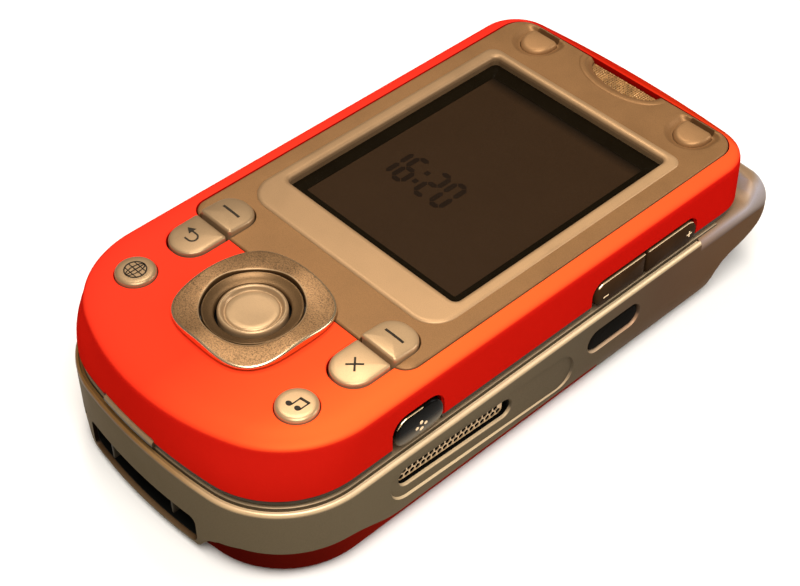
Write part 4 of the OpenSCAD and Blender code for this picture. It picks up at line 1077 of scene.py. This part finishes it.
# speaker grilles: rows of hexagonal holes above a dark gap, in front of a matt black cloth; the slot walls are lined in
# matt black as painted shade
for s, nm in ((1, "right"), (-1, "left")):
    g = raw("g", along_x(prism(rr(-25.25, 6.92, -7.35, 9.18, 0.8, 6), 22.08, 22.2)))
    holes = []
    for i in range(20):
        for j in range(3):
            y = -24.6 + i * 0.92 + (j % 2) * 0.46
            z = 7.42 + j * 0.79
            if y < -7.8:
                hexa = [(y + 0.43 * math.cos(math.radians(60 * k + 30)), z + 0.44 * math.sin(math.radians(60 * k + 30))) for k in range(6)]
                holes.append(along_x(prism(hexa, 21, 23)))
    cut(g, merge(*holes))
    gp = tilted(take(g))
    back = tilted(along_x(prism(rr(-25.5, 5.98, -6.4, 9.36, 1.4), 21.05, 21.3)))
    wide, slim = rr(-25.57, 5.93, -6.33, 9.41, 1.46, 10), rr(-25.3, 6.14, -6.6, 9.22, 1.22, 10)
    # matt black sleeve round the slot walls, as painted shade
    shade_sleeve = tilted(along_x(loft([ring_at(wide, 21.1), ring_at(wide, 22.42), ring_at(slim, 22.42), ring_at(slim, 21.1)], wrap=True)))
    if s < 0:
        gp, back, shade_sleeve = mirror_x(gp), mirror_x(back), mirror_x(shade_sleeve)
    piece(gp, "speaker_grille_" + nm, GRILLE, "base", ["speaker_grilles"] if s > 0 else ())
    piece(merge(back, shade_sleeve), "speaker_cloth_and_painted_shade_" + nm, SOOT, "base")

# infrared window
v, f = pillow(rr(7.6, 6.45, 17.2, 9.85, 1.65, 10), (12.4, 8.15), 21.9, 0.3, lambda y, z: 23.04 - 0.05 * ((z - 8.15) / 1.7) ** 2)
piece(along_x((v, f)), "infrared_window_skin", BLACK, "base", ["infrared_window"], angle=50, weighted=False)

# system connector: shell, ribs, tongue with contacts
sh = raw("sh", along_y(prism(rr(-12.17, 2.13, 8.77, 6.17, 0.77, 6), -47, -41.1)))
cut(sh, along_y(prism(rr(-11.95, 2.3, 8.55, 6.02, 0.6, 6), -48, -42.4)))
cut(sh, prism(base_o(0.5), 0, 9), "INTERSECT")
piece(merge(take(sh), box(-8.0, -43.8, 4.05, 3.4, -42.3, 4.65)), "system_connector_skin", SOOT, "base", ["system_connector"])
piece(merge(*[rounded(rr_fn(x - 0.2, -45.55, x + 0.2, -42.3, 0.1, 3), 2.2, 6.05, 0.1, 0.1) for x in (-8.3, 3.7)]), "connector_ribs", DARK, "base")
piece(merge(*[rounded(rr_fn(-7.6 + i * 0.95, -43.7, -7.1 + i * 0.95, -42.4, 0.1, 3), 4.62, 4.74, 0, 0.05) for i in range(12)]), "connector_contacts", GOLD, "base")

# camera eye on the back: stepped ring, lens and light
piece(ring_solid([(3.0, 0.35), (3.05, 0.16), (3.2, 0.07), (3.6, 0.05), (4.3, 0.06), (4.5, 0.12), (4.85, 0.18), (5.0, 0.32), (5.0, 1.25), (3.6, 1.25), (3.6, 0.45)], 0, 21, 72),
      "camera_trim_skin", RIM, "base", ["camera_trim"], angle=50)
piece(revolve([(0, 0.42), (1.2, 0.45), (2.4, 0.56), (3.4, 0.72), (3.5, 0.8), (3.5, 1.25), (0, 1.25)], 0, 21, 64), "camera_lens_skin", LENS, "base", ["camera_lens"], angle=50)
piece(revolve([(0, 0.2), (0.8, 0.22), (1.5, 0.3), (1.8, 0.45), (1.85, 0.7), (1.85, 1.35), (2.4, 1.35), (2.4, 2.5), (0, 2.5)], -11, 21, 48), "photo_light_skin", LAMP, "base", ["photo_light"], angle=50)

# ---------------------------------------------------------------- carried-over inner nodes
INNER = {"keypad_membrane": RUBBER, "main_board": BOARD, "battery": BATTERY, "camera_module": SOOT, "speakers": SOOT, "antenna": DARK, "vibration_motor": STEEL,
         "vibration_weight": STEEL, "sim_holder": STEEL, "base_screws": STEEL, "hinge_plate": STEEL, "hinge_bush": DARK, "hinge_spring": STEEL, "flex_cable": FLEX,
         "hinge_rotor": STEEL, "hinge_clip": STEEL, "lcd_panel": MASK, "flip_board": BOARD, "flip_keymat": RUBBER, "receiver": SOOT, "nav_carrier": RUBBER, "flip_screws": STEEL}
for nm, m in INNER.items():
    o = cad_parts[nm]
    o.data.materials.clear()
    o.data.materials.append(m)

# ---------------------------------------------------------------- stage
fm, nt, bsdf, coord = shader("pale_floor")
nz = noise(nt, coord, 3.0, 2.0)
rp = ramp(nt, nz.outputs["Fac"], [(0.3, (0.90, 0.90, 0.90)), (0.7, (0.94, 0.94, 0.94))])
nt.links.new(rp.outputs["Color"], bsdf.inputs["Base Color"])
bsdf.inputs["Roughness"].default_value = 0.9
bsdf.inputs["Specular IOR Level"].default_value = 0.1
fme = bpy.data.meshes.new("floor")
fme.from_pydata([(-6, -6, 0), (6, -6, 0), (6, 6, 0), (-6, 6, 0)], [], [(0, 1, 2, 3)])
floor = bpy.data.objects.new("floor", fme)
scene.collection.objects.link(floor)
fme.materials.append(fm)
floor.location = (0, 0, -0.00005)

world = bpy.data.worlds.new("soft_studio")
scene.world = world
world.use_nodes = True
wn = world.node_tree
bg = wn.nodes["Background"]
tc = wn.nodes.new("ShaderNodeTexCoord")
sp = wn.nodes.new("ShaderNodeSeparateXYZ")
wn.links.new(tc.outputs["Generated"], sp.inputs["Vector"])
wr = wn.nodes.new("ShaderNodeValToRGB")
wr.color_ramp.elements[0].position = 0.0
wr.color_ramp.elements[0].color = (0.30, 0.27, 0.23, 1)
wr.color_ramp.elements[1].position = 0.95
wr.color_ramp.elements[1].color = (0.80, 0.76, 0.70, 1)
e = wr.color_ramp.elements.new(0.55)
e.color = (0.20, 0.17, 0.14, 1)
wn.links.new(sp.outputs["Z"], wr.inputs["Fac"])
wn.links.new(wr.outputs["Color"], bg.inputs["Color"])
bg.inputs["Strength"].default_value = 0.45


def area(name, at, size, power, colour, target=(0, 0, 0.012)):
    d = bpy.data.lights.new(name, "AREA")
    d.shape, d.size, d.energy, d.color = "DISK", size, power, colour
    o = bpy.data.objects.new(name, d)
    scene.collection.objects.link(o)
    o.location = at
    o.rotation_mode = "QUATERNION"
    o.rotation_quaternion = (Vector(target) - Vector(at)).to_track_quat("-Z", "Y")
    return o


area("top_light", (0.22, -0.16, 0.62), 0.50, 5.5, (1.0, 0.95, 0.88))
area("gloss_light", (-0.20, 0.13, 0.50), 0.16, 1.0, (1.0, 0.92, 0.80))
area("back_light", (0.42, 0.50, 0.30), 0.30, 1.2, (0.97, 0.98, 1.0))
scene.view_settings.view_transform = "Standard"
scene.view_settings.look = "None"
